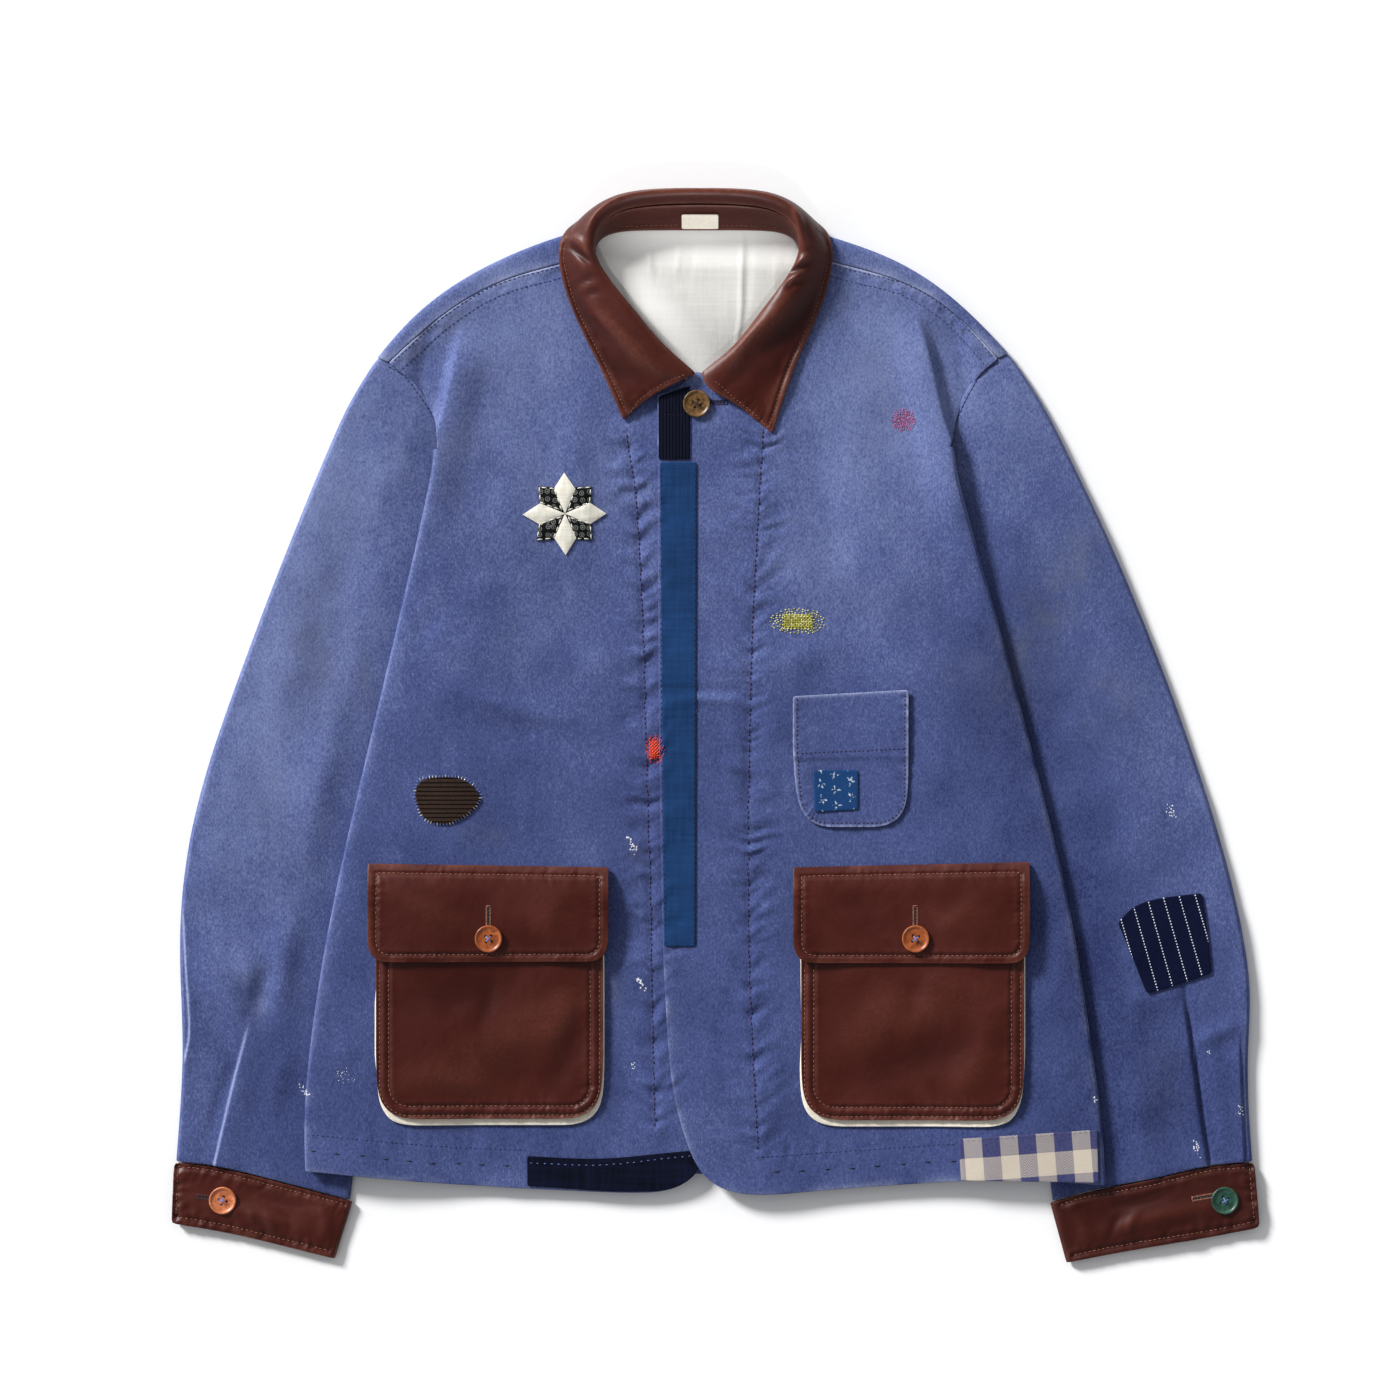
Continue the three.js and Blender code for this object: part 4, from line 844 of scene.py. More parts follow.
# Body panels, sleeves and the pieces laid on them: copy, soften, fold, age
slotNames = {
    "cottonMoleskin": "moleskin", "washedLinen": "linen", "anilineCalfLeather": "brown_leather",
    "labelTape": "label_tape", "creamCanvas": "canvas", "tealCotton": "teal_cotton",
    "pileCorduroy": "corduroy", "navyTwill": "navy_binding", "checkFlannel": "check_flannel",
    "brownTweed": "tweed", "pinstripeCotton": "pinstripe_cotton", "sprigLawn": "floral_cotton",
}
sheets = {
    # node: piece, levels, finish, flat width and length, flat area, what it lies on
    "back": ("backPanel", 2, "cottonMoleskin", (0.62, 0.74), 0.337, ["floor"]),
    "neck_lining": ("neckLining", 3, "washedLinen", (0.165, 0.13), 0.0159, ["backPanel"]),
    "front_right": ("frontRight", 3, "cottonMoleskin", (0.33, 0.70), 0.1745, ["backPanel"]),
    "front_left": ("frontLeft", 3, "cottonMoleskin", (0.34, 0.70), 0.176, ["frontRight"]),
    "sleeve_right": ("sleeveRight", 2, "cottonMoleskin", (0.38, 0.64), 0.1565, ["floor"]),
    "sleeve_left": ("sleeveLeft", 2, "cottonMoleskin", (0.40, 0.64), 0.1665, ["floor"]),
    "breast_pocket": ("breastPocket", 3, "cottonMoleskin", (0.086, 0.102), 0.0086, ["frontLeft"]),
    "cuff_right": ("cuffRight", 3, "anilineCalfLeather", (0.31, 0.046), 0.0137, ["sleeveRight"]),
    "cuff_left": ("cuffLeft", 3, "anilineCalfLeather", (0.38, 0.048), 0.0172, ["sleeveLeft"]),
    "collar_stand": ("collarStand", 2, "anilineCalfLeather", (0.38, 0.021), 0.0066, ["neckLining"]),
    "collar_fall": ("collarFall", 2, "anilineCalfLeather", (0.46, 0.066), 0.0247, ["collarStand"]),
    "neck_label": ("neckLabel", 3, "labelTape", (0.027, 0.0155), None, ["collarStand"]),
    "pocket_backing_right": ("pocketBackingRight", 2, "creamCanvas", (0.169, 0.175), None, ["frontRight"]),
    "pocket_backing_left": ("pocketBackingLeft", 2, "creamCanvas", (0.166, 0.176), None, ["frontLeft"]),
    "pocket_bag_right": ("pocketBagRight", 3, "anilineCalfLeather", (0.167, 0.170), None,
                         ["pocketBackingRight"]),
    "pocket_bag_left": ("pocketBagLeft", 3, "anilineCalfLeather", (0.164, 0.171), None,
                        ["pocketBackingLeft"]),
    "pocket_flap_right": ("pocketFlapRight", 3, "anilineCalfLeather", (0.177, 0.075), None,
                          ["pocketBagRight"]),
    "pocket_flap_left": ("pocketFlapLeft", 3, "anilineCalfLeather", (0.174, 0.076), None, ["pocketBagLeft"]),
    "teal_strip": ("tealStrip", 3, "tealCotton", (0.027, 0.357), None, ["frontLeft"]),
    "corduroy_strip": ("corduroyStrip", 3, "pileCorduroy", (0.023, 0.046), None, ["frontLeft"]),
    "hem_binding": ("hemBinding", 3, "navyTwill", (0.132, 0.028), None, ["frontRight"]),
    "check_patch": ("checkPatch", 3, "checkFlannel", (0.103, 0.039), None, ["frontLeft"]),
    "tweed_patch": ("tweedPatch", 3, "brownTweed", (0.049, 0.035), None, ["frontRight"]),
    "pinstripe_patch": ("pinstripePatch", 3, "pinstripeCotton", (0.069, 0.074), None, ["sleeveLeft"]),
    "floral_patch": ("floralPatch", 3, "sprigLawn", (0.033, 0.031), None, ["breastPocket"]),
}
leatherFolds = {
    "collar": [  # height, half width, line
        (2.8, 3.0, [(-111, 361), (-104, 359), (-96, 352), (-90, 343)]),
        (-3.2, 2.4, [(-108, 355), (-103, 350), (-96, 344), (-90, 340)]),
        (2.4, 3.0, [(-104, 345), (-98, 339), (-91, 333)]), (-1.8, 1.8, [(-103, 324), (-97, 328), (-88, 331)]),
        (1.6, 2.4, [(-102, 320), (-95, 323), (-86, 325)]),
        (-1.6, 1.8, [(-97, 317), (-91, 319.5), (-83, 320)]),
        (-3.3, 6, [(-107, 330), (-99, 311), (-84, 292), (-66, 277)]),
        (4.2, 6, [(-98, 316), (-82, 298), (-64, 281), (-50, 273)]),
        (2.3, 5, [(-66, 282), (-54, 269), (-36, 258)]), (-2.0, 6, [(-88, 280), (-74, 264), (-56, 254)]),
        (2.0, 7, [(-92, 270), (-80, 255), (-62, 241)]),
        (2.6, 2.6, [(54, 337), (61, 341), (70, 347)]), (-2.8, 2.2, [(53, 332), (60, 336), (70, 341)]),
        (2.0, 2.6, [(50, 326), (58, 330), (67, 334)]), (-1.6, 2.2, [(50, 321), (57, 324), (66, 327)]),
        (2.2, 3, [(57, 384), (60, 368), (64, 352)]), (-2.2, 3, [(65, 382), (66, 366), (71, 352)]),
        (-3.4, 7, [(76, 326), (64, 304), (46, 286), (30, 272)]),
        (3.8, 6, [(60, 321), (44, 303), (24, 286), (6, 263)]),
        (1.9, 7, [(58, 264), (48, 247), (36, 232)]), (-1.2, 5, [(28, 268), (16, 256), (8, 250)]),
        (1.5, 6, [(-60, 392), (-30, 391), (10, 391), (34, 390)]),
        (-1.2, 6, [(-66, 383), (-30, 382), (10, 382), (40, 380)]),
    ],
    "pockets": [
        (1.6, 20, [(-190, -256), (-150, -226), (-100, -206)]),
        (-1.3, 14, [(-240, -206), (-190, -200), (-130, -194)]),
        (1.0, 10, [(-236, -264), (-200, -258), (-160, -268)]),
        (-1.2, 10, [(-128, -276), (-108, -240), (-100, -204)]),
        (1.2, 12, [(-104, -190), (-112, -216), (-130, -236)]),
        (-0.9, 7, [(-180, -232), (-168, -208), (-164, -184)]),
        (1.6, 18, [(90, -240), (130, -212), (190, -200)]),
        (-1.3, 14, [(100, -266), (150, -244), (200, -232)]),
        (1.1, 11, [(170, -278), (190, -250), (208, -208)]),
        (-1.0, 8, [(132, -222), (146, -202), (150, -182)]),
        (0.9, 8, [(-232, -124), (-204, -138), (-180, -148)]),
        (0.9, 8, [(198, -122), (178, -140), (160, -150)]),
        (-0.8, 8, [(-150, -160), (-120, -166), (-96, -158)]),
        (-0.8, 9, [(88, -122), (112, -140), (126, -158)]),
        (0.8, 10, [(-112, -118), (-124, -140), (-140, -152)]),
    ],
    "cuffs": [
        (1.2, 7, [(-384, -352), (-350, -358), (-318, -366), (-290, -374)]),
        (-0.9, 4, [(-340, -344), (-322, -348), (-300, -354)]),
        (-0.8, 3, [(-326, -358), (-316, -364), (-312, -374)]),
        (0.8, 3, [(-334, -358), (-328, -366), (-326, -374)]),
        (0.7, 2.6, [(-346, -356), (-342, -362), (-341, -370)]),
        (0.9, 5, [(-296, -352), (-288, -364), (-290, -382)]),
        (1.2, 7, [(380, -352), (346, -358), (314, -366), (272, -376)]),
        (-0.9, 4, [(336, -344), (316, -350), (290, -356)]),
        (-0.8, 3, [(300, -360), (294, -368), (292, -378)]), (0.8, 3, [(312, -358), (306, -366), (304, -376)]),
        (0.8, 5, [(264, -358), (272, -370), (276, -386)]),
    ],
}
leatherAgeingAndShade = {
    "gain": {"collar": 0.72, "pockets": 1.1, "cuffs": 1.7},  # how deep the folds above are pressed
    "bend": 2.6,  # a fold this high is bent right up
    # painted highlight: how much paler bent-up ridges are coloured, partly the leather's own pull-up
    "paler": {"collar": 0.45, "pockets": 0.45, "cuffs": 0.2},
    "paintedShade": {"cuff_left": 0.7},  # painted shade: the left cuff darker all over, as it lies in shade
}
pocketShapes = {
    "right": {"bag": (-250, -83, -289), "flap": (-256, -79, -173, -101), "tilt": -3},
    "left": {"bag": (63, 227, -290), "flap": (57, 231, -174, -104), "tilt": 4},
}
sewnRows = {
    "cuff_right": [[(-397, -327), (-398, -345), (-398.5, -362)],
                   [(-398.5, -362), (-359, -369), (-318, -379), (-286, -387)],
                   [(-397, -325), (-370, -328.5), (-307, -344.5), (-274, -353)]],
    "cuff_left": [[(394.5, -326), (396, -345), (398, -365)],
                  [(398, -365.5), (374, -371), (330, -378), (285, -386), (264, -391)],
                  [(394.5, -325.5), (364, -328.5), (319, -339.5), (274, -347.5), (254, -354)]],
    "collar_fall": [[(-64.5, 229), (-80.5, 264), (-102, 308), (-111.5, 341), (-110, 357), (-102, 368)],
                    [(39, 220), (53.4, 264), (73.6, 308), (82.4, 341), (81, 357), (73.5, 368)],
                    [(-64.5, 229), (-56, 240.5), (-42, 250.5), (-22, 259.5)],
                    [(39, 220), (30.5, 228.5), (17, 239.5), (-1, 254.5)]],
    "collar_stand": [[(-70, 369), (-50, 370), (-27, 370)], [(4, 370), (30, 369.5), (46, 368)]],
}
sewnPuckers = {"collar": (0.34, 5, 5), "cuff": (0.62, 6, 8), "other": (0.24, 6, 5)}  # height, pitch, reach
sewnRows = {node: [smoothLine(row, 2) for row in rows] for node, rows in sewnRows.items()}

def roundedPath(x0, x1, y0, y1, corner, closed=False):  # down one side, round the foot and up the other
    turn = np.linspace(0, math.pi / 2, 9)
    leftFoot = [(x0 + corner - corner * math.cos(t), y0 + corner - corner * math.sin(t)) for t in turn]
    rightFoot = [(x1 - corner + corner * math.sin(t), y0 + corner - corner * math.cos(t)) for t in turn]
    path = [(x0, y1)] + leftFoot + rightFoot + [(x1, y1)]
    return np.array(path + [(x0, y1)] if closed else path)

for name, shape in pocketShapes.items():
    x0, x1, y0 = shape["bag"]
    sewnRows["pocket_bag_" + name] = [roundedPath(x0 + d, x1 - d, y0 + d, -140, 24 - d) for d in (2.6, 9.4)]
    x0, x1, y0, y1 = shape["flap"]
    row = roundedPath(x0 + 6.5, x1 - 6.5, y0 + 5.5, y1 - 6.5, 9, True)
    row = evenly(row, 3)
    row[:, 1] += shape["tilt"] * (row[:, 0] - x0) / (x1 - x0) * (row[:, 1] - y0) / (y1 - y0)
    sewnRows["pocket_flap_" + name] = [row]

# a sewn row pulls the leather down and leaves it full on both sides
def addGroove(x, y, z, line, depth, width):
    near, off, along, run = nearLine(x, y, line, 6 * width)
    z[near] -= depth * (np.exp(-(off / width) ** 2) - 0.5 * np.exp(-(off / (2.4 * width)) ** 2))
    return z

def leatherField(group, x, y, seed):
    z = 0.6 * softNoise(x, y, 34, seed) + 0.25 * softNoise(x, y, 13, seed + 1) + 0.06 * softNoise(x, y, 6,
        seed + 2)
    return addCreases(x, y, z, leatherFolds[group], leatherAgeingAndShade["gain"][group])

liningCreases = [  # height, half width, line
    (1.1, 1.8, [(20, 366), (19.5, 335), (18.5, 303), (14, 276)]),
    (-0.8, 3, [(25, 364), (24, 335), (22.5, 303)]),
    (0.6, 2.2, [(-50, 364), (-49, 348), (-47, 328)]),
    (-0.5, 2, [(-46, 362), (-45, 346), (-43, 330)]),
    (0.6, 2.2, [(-28, 364), (-27, 350), (-29, 330)]),
    (-0.5, 2, [(-18, 364), (-17, 350), (-18, 334)]),
    (0.5, 4, [(-70, 350), (-66, 330), (-58, 312)]),
    (0.4, 3, [(48, 352), (44, 332), (46, 312)]),
]

def liningField(x, y):
    z = 0.35 * softNoise(x, y, 30, 71, 2.5)
    return addCreases(x, y, z, liningCreases)

def upward(piece):  # the upright part of each corner's normal
    normals = np.empty(3 * len(piece.data.vertices), np.float32)
    piece.data.vertices.foreach_get("normal", normals)
    return normals[2::3]

def wearOf(piece):
    values = np.empty(len(piece.data.vertices), np.float32)
    piece.data.attributes["wear"].data.foreach_get("value", values)
    return values

def pleatHighlight(x, y, worn):  # painted highlight: pale along the turned pleat edges that face the light
    for step, reach, line in sleeveFolds["pleats"]:
        near, off, along, run = nearLine(x, y, smoothLine(line, 3), 5)
        if step > 0:
            worn[near] = np.clip(worn[near] + 0.6 * np.exp(-(off / 0.9) ** 2) * ease(along, 0, 20), 0, 1)
    return worn

def seamWear(side, x, y, worn):
    # the shoulder seams are rubbed pale, the armholes and the strip's edge are not
    for line, reach, keep, add in ((cut[side]["armhole"], 8, 0.1, 0), ([(-42, -170), (-42, 200)], 8, 0.12, 0),
                                   (cut[side]["shoulder"], 5, 1, 0.95)):
        near, off, along, run = nearLine(x, y, smoothLine(line, 4), reach)
        worn[near] = np.clip(worn[near] * keep + add * np.exp(-(off / 1.6) ** 2), 0, 1)
    return worn

breastPocket = {"drop": 4.6, "taper": 3.2, "hem": (-22.5, 0.9), "wavy": 0.34}

def pocketLean(points):  # the pocket's mouth hangs lower towards the front edge
    x, y = points[:, 0], points[:, 1]
    points[:, 1] -= breastPocket["drop"] * np.clip(1 - (x - 58) / 83, 0, 1) * ease(y, -50, 25)
    points[:, 0] += breastPocket["taper"] * ease(-y, 10, 70) * ease(100 - x, 0, 40)
    return points

laying = {  # how far the cloths are eased from their cut, in millimetres
    "armholeFoot": {"right": (-205, 212), "left": (172, 208), "out": 2.5, "length": 16},
    "neckEdge": {"middle": -15, "halfWidth": 11, "up": 10.5},
    "patchSink": 0.6, "corduroyUp": 8, "backingIn": 1.3,
    "sleeveHead": {"reach": 5, "under": 2.2, "down": 0.5},
    "cuffDip": 0.8,
    "collarEnd": {"middle": (2, 252), "spread": (13, 16), "over": 5.5},
    "standEnd": {"middle": -19, "halfWidth": 8, "up": 6},
    "lining": {"rise": 6.0, "up": 3.0, "dip": 0.3, "shade": [(-90, 360), (-66, 322), (-40, 290), (-16, 260)]},
    "groove": (1.2, 1.6),
}
edgeWear = {  # how pale the edges are worn, how far in, how unevenly
    "front": (0.7, 2.2, 0.6), "sleeve": (0.2, 2.2, 0.6), "breast": (1.5, 1.0, 0.2), "collar": (1.5, 1.4, 0.2),
}
finePasses = {"front": 1, "sleeve": 2, "cuff": 1, "collar_fall": 1, "pocket_bag": 1, "pocket_flap": 1,
              "breast": 1,
              "neck_lining": 1}
onBody = ["front_right", "front_left", "breast_pocket", "teal_strip", "corduroy_strip", "hem_binding",
          "check_patch", "tweed_patch", "floral_patch"]

def layFront(side, piece, points):
    x, y, z = points.T
    fold = stepFold(x, y)  # its underside stays down on the sleeve
    points[:, 2] += np.where(upward(piece) < -0.3, np.minimum(fold, 0), fold)
    foot, sign = laying["armholeFoot"], cut[side]["sign"]  # the foot of the armhole, under the fold
    near = np.exp(-((y - foot[side][1]) / foot["length"]) ** 2) * ease(sign * (x - foot[side][0]), -20, -1)
    points[:, 0] += sign * foot["out"] * near
    if side == "left":  # its neck edge comes up between the collar's ends
        edge = laying["neckEdge"]
        points[:, 1] += edge["up"] * np.exp(-((x - edge["middle"]) / edge["halfWidth"]) ** 2) * ease(y, 238,
            249)

def layBreastPocket(points):  # doubled above its hem, drawn up along the sewn edge
    x, y, z = points.T
    hem, step = breastPocket["hem"]
    points[:, 2] += step * ease(y, hem - 1.2, hem + 0.6)
    addPucker(x, y, points[:, 2], roundedPath(59.6, 139.4, -71.4, 25, 20), breastPocket["wavy"], 9, 7, 0.2,
              67)
    pocketLean(points)

def layPocket(nodeName, points):
    x, y, z = points.T
    points[:, 2] += bodyField(x, y)
    if "backing" in nodeName:  # it shows unevenly along the sides
        out = x - x.mean()
        uneven = ease(softNoise(x, y, 45, 121), -0.4, 0.4)
        points[:, 0] -= laying["backingIn"] * np.sign(out) * uneven * ease(np.abs(out), 70, 80)
    else:  # the bag and flap are stiffer, and lie fuller away from their seams
        points[:, 2] += leatherField("pockets", x, y, 81) * ease(y, -288, -262)

def laySleeve(nodeName, points):
    x, y, z = points.T
    points[:, 2] += sleeveField(x, y) * ease(z, 1.7, 3.0)
    # its head reaches in under the body, so no light shows along the armhole
    if nodeName.startswith("sleeve"):
        c, head = cut[nodeName.split("_")[1]], laying["sleeveHead"]
        seam = smoothLine(c["side"][-2:] + c["armhole"] + [c["cap"]], 3)
        near, off, along, run = nearLine(x, y, seam, head["reach"])
        hold = (1 - np.abs(off) / head["reach"]) * ease(along, 0, 30)
        across, up = (head["under"] * part for part in c["tuck"])
        points[near] += np.outer(hold, [across, up, -head["down"]])

def layCollar(nodeName, points):
    x, y, z = points.T
    if nodeName == "collar_fall":
        end = laying["collarEnd"]
        points[:, 2] += leatherField("collar", x, y, 101) * ease(z, 7, 12)
        (cx, cy), (rx, ry) = end["middle"], end["spread"]
        near = ((x - cx) / rx) ** 2 + ((y - cy) / ry) ** 2
        points[:, 0] -= end["over"] * np.exp(-near)  # the left end reaches the right one
    else:  # the stand's right end stays under the fall
        end = laying["standEnd"]
        points[:, 1] += end["up"] * np.exp(-((x - end["middle"]) / end["halfWidth"]) ** 2) * ease(262 - y, 0,
            10)

def layLining(piece, points):
    x, y, z = points.T
    lining = laying["lining"]
    points[:, 2] += np.maximum(liningField(x, y), -lining["dip"]) * ease(y, 240, 262)
    points[:, 2] += lining["rise"] * ease(y, 254, 310) * (1 - ease(y, 335, 360))
    points[:, 1] += lining["up"] * ease(y, 340, 364)  # sewn in under the stand
    # painted light: the linen is coloured paler under the stand and along the collar's shadow line, lifting
    # the shade cast there
    paintedLight = ease(y, 336, 360)
    near, off, along, run = nearLine(x, y, smoothLine(lining["shade"], 4), 40)
    paintedLight[near] = np.maximum(paintedLight[near], 0.6 * (1 - ease(np.abs(off), 4, 30)))
    setAttribute(piece, "fade", paintedLight)

def layOut(nodeName, piece, points):
    x, y, z = points.T
    kind = nodeName.split("_")[0]
    if nodeName in onBody:
        points[:, 2] += bodyField(x, y)
        if kind == "front":
            layFront(nodeName.split("_")[1], piece, points)
        elif kind == "breast":
            layBreastPocket(points)
        else:  # patches lie sewn down flat
            points[:, 2] -= laying["patchSink"]
        if kind == "corduroy":  # it runs up under the collar
            points[:, 1] += laying["corduroyUp"] * ease(y, 222, 243)
    elif kind == "pocket":
        layPocket(nodeName, points)
    elif kind in ("sleeve", "pinstripe"):
        laySleeve(nodeName, points)
    elif kind == "cuff":
        points[:, 2] += np.maximum(leatherField("cuffs", x, y, 91), -laying["cuffDip"]) * ease(z, 4.0, 4.4)
    elif kind == "collar":
        layCollar(nodeName, points)
    elif nodeName == "neck_lining":
        layLining(piece, points)

def pullRows(nodeName, points):  # each sewn row sinks into the leather and puckers it
    x, y, z = points.T
    kind = nodeName.split("_")[0]
    for row in sewnRows.get(nodeName, []):
        pulled = row[4:-4] if nodeName == "collar_fall" else row  # no groove runs out over an edge
        sunk = addGroove(x, y, np.zeros(len(x)), pulled, *laying["groove"])
        addPucker(x, y, sunk, pulled, *sewnPuckers.get(kind, sewnPuckers["other"]), 0.3, 111)
        points[:, 2] += sunk * (ease(z, 4.0, 4.4) if kind == "cuff" else 1)

def ageAndShadeSheet(nodeName, slotName, piece, points):
    x, y, z = points.T
    kind, part = (nodeName.split("_") + [""])[:2]
    group = {"cuff": "cuffs", "collar": "collar", "pocket": "pockets"}.get(kind)
    # leather is coloured paler where it is bent up and darker in its creases: partly its own pull-up, partly
    # painted highlight and painted shade
    if group and part not in ("stand", "backing"):
        bend = addCreases(x, y, np.zeros(len(x)), leatherFolds[group]) / leatherAgeingAndShade["bend"]
        paler = leatherAgeingAndShade["paler"][group] * np.clip(bend, 0, 1)
        setAttribute(piece, "wear", np.clip(wearOf(piece) + paler, 0, 1))
        # painted shade: darker in the creases and over the whole left cuff
        setAttribute(piece, "soil", np.clip(leatherAgeingAndShade["paintedShade"].get(nodeName, 0) - bend, 0, 1))
    if kind == "sleeve":
        # painted highlight along the pleats' turned edges
        setAttribute(piece, "wear", pleatHighlight(x, y, wearOf(piece)))
    if kind == "front":
        setAttribute(piece, "wear", seamWear(part, x, y, wearOf(piece)))
    if slotName == "moleskin":
        # fading, with painted shade on the left sleeve
        setAttribute(piece, "fade", fadeAndShadeField(x, y))
        setAttribute(piece, "soil", soilField(x, y))

pieces = {}
for nodeName, (pieceName, levels, finish, flat, area, restsOn) in sheets.items():
    kind = nodeName.split("_")[0]
    fine = sum(passes for start, passes in finePasses.items() if nodeName.startswith(start))
    piece = sewnSheet(nodeName, pieceName, levels, 0.5 if kind == "cuff" else 0.8, fine,
                      edgeWear.get(kind, (1.0, 2.2, 0.6)))
    points = pointsOf(piece)
    layOut(nodeName, piece, points)
    pullRows(nodeName, points)
    points[:, 2] = np.maximum(points[:, 2], 0)  # nothing sinks into the table
    setPoints(piece, points)
    ageAndShadeSheet(nodeName, slotNames[finish], piece, points)
    declare(piece, nodeName, finishes[finish])
    pieces[pieceName] = piece
print("sheets made:", len(pieces), "faces:", sum(len(p.data.polygons) for p in pieces.values()))

def surfaceOf(names):
    corners, faces = [], []
    for name in names:
        mesh = pieces[name].data
        start = len(corners)
        corners += [v.co.copy() for v in mesh.vertices]
        faces += [[start + i for i in polygon.vertices] for polygon in mesh.polygons]
    return BVHTree.FromPolygons(corners, faces)

surfaces = {
    "body": surfaceOf(["backPanel", "frontRight", "frontLeft", "breastPocket", "tealStrip", "corduroyStrip",
                       "hemBinding",
                       "checkPatch", "tweedPatch", "floralPatch", "sleeveLeft", "sleeveRight",
                       "pinstripePatch"]),
    "leather": surfaceOf(["pocketBagRight", "pocketBagLeft", "pocketFlapRight", "pocketFlapLeft",
                          "cuffRight", "cuffLeft",
                          "collarFall", "collarStand", "neckLabel"]),
}

def drop(surface, x, y):  # the place and slope of the highest cloth under a plan point
    spot, normal, face, reach = surfaces[surface].ray_cast(Vector((x * mm, y * mm, 0.1)), Vector((0, 0, -1)))
    return (spot, normal if normal.z > 0 else -normal) if spot else (None, None)

# Stitches: each is a short bowed thread that dives into the cloth at both ends
threads = {name: [] for name in threadLooks}

def addStitch(thread, surface, start, end, width=0.7, bow=0.3):
    a, na = drop(surface, *start)
    b, nb = drop(surface, *end)
    if a is None or b is None or abs(a.z - b.z) > 0.6 * max((a - b).length, 0.0008):
        return
    threads[thread].append((a, b, (na + nb).normalized(), width * mm, bow * mm))

def stitchLine(thread, surface, line, length=2.4, gap=1.1, width=0.7, bow=0.3, wander=0.12):
    marks = evenly(np.asarray(line, float), length + gap)
    for a, b in zip(marks, marks[1:]):
        ahead = (b - a) * (length / (length + gap))
        off = np.array([draw.gauss(0, wander), draw.gauss(0, wander)])
        addStitch(thread, surface, a + off, a + ahead + off, width, bow)

sewing = {
    "seam": {"length": 2.5, "gap": 1.1, "width": 0.75},
    "topstitch": {"length": 2.3, "gap": 1.2, "width": 0.65},
    "collar": {"length": 2.0, "gap": 1.0, "width": 0.55},
    "tack": {"length": 4.6, "gap": 14, "width": 1.0},
}
for name, sign in (("right", -1), ("left", 1)):
    c = cut[name]
    seam = smoothLine(c["shoulder"], 3)
    for inset in (2.2, 10.6):
        stitchLine("blueThread", "body", offsetLine(seam, sign * inset), **sewing["seam"])
    stitchLine("violetThread", "body", smoothLine(c["facing"], 2), length=2.9, gap=0.9, width=1.25,
               wander=0.25)
    seam = offsetLine(smoothLine(c["armhole"], 2), -sign * 0.9)
    stitchLine("blueThread", "body", seam, length=3.4, gap=0.1, width=1.1, bow=0.1, wander=0.05)
    hem = smoothLine(c["hem"], 3)
    stitchLine("blueThread", "body", offsetLine(hem, -sign * 27.5), **sewing["seam"])
    stitchLine("inkThread", "body", offsetLine(hem, -sign * 15), wander=0.6, **sewing["tack"])
# Breast pocket: along its edge, and the fold at its mouth
for thread, row in (("violetThread", evenly(roundedPath(59.9, 139.1, -71, 25, 20), 3)),
                    ("violetThread", smoothLine([(59, -18), (100, -17), (140, -16)], 2))):
    stitchLine(thread, "body", pocketLean(row), length=1.9, gap=1.3, width=0.9)
for nodeName, rows in sewnRows.items():
    for row in rows:
        if nodeName.startswith("pocket_bag"):  # hidden under the flap further up
            row = evenly(row, 3)
            row = row[row[:, 1] < -177]
        stitchLine("tanThread", "leather", row,
                   **sewing["collar" if nodeName == "collar_fall" else "topstitch"])
print("seams sewn:", {k: len(v) for k, v in threads.items() if v})

# Patch edges: whip stitches round the tweed, running stitches on the strips, the binding and the check
tweedEdge = smoothLine([(-222, -52), (-219, -40), (-204, -37), (-184, -39), (-173, -54), (-193, -71),
                        (-214, -69),
                        (-222, -52)], 2.4)
patchRows = [  # thread, length, gap, width, line
    ("inkThread", 1.8, 2.4, 0.5, [(-37, -160), (-40, 0), (-40.4, 193)]),
    ("inkThread", 1.8, 2.4, 0.5, [(-16, -160), (-15.4, 0), (-15, 193)]),
    ("skyThread", 1.6, 3.4, 0.55, [(-137, -322), (-85, -323.5), (-30, -318), (-10, -316)]),
    ("blueThread", 1.6, 2.6, 0.55, [(181, -305.5), (230, -302), (280, -298.5)]),
    ("inkThread", 1.5, 1.6, 0.5, [(-38, 230), (-33, 229.6), (-22, 230)]),
]
for spot, out in zip(tweedEdge, tweedEdge - offsetLine(tweedEdge, 1.0)):
    reach = draw.uniform(0.9, 1.7)
    thread = "whiteThread" if draw.random() < 0.4 else "skyThread"
    addStitch(thread, "body", spot - out * 1.2, spot + out * reach, 0.5, 0.5)
for thread, length, gap, width, line in patchRows:
    stitchLine(thread, "body", smoothLine(line, 3), length, gap, width)

# Darns: a woven middle of threads in two directions, and loose seed stitches thinning out round it
darns = {
    "lime": {"middle": (60.5, 77.5), "core": (10.8, 5.2), "spread": (20.5, 9.8), "pitch": 1.25,
             "threads": ("limeThread", "strawThread"), "mixed": 0.3,
             "seeds": 900, "apart": 1.55, "long": (0.55, 0.8), "width": 1.0, "lean": 0.15},
    "orange": {"middle": (-45, -17), "core": (3.6, 6.5), "spread": (7.5, 11), "pitch": 1.15,
               "threads": ("orangeThread", "roseThread"), "mixed": 0,
               "seeds": 200, "apart": 0.8, "long": (0.7, 1.1), "width": 0.65, "lean": 1.5},
    "rose": {"middle": (138.5, 226), "core": (0, 0), "spread": (9, 8.6), "pitch": 1.2,
             "threads": ("roseThread", "pinkThread"), "mixed": 0,
             "seeds": 500, "apart": 0.85, "long": (0.55, 0.8), "width": 0.65, "lean": None},
}

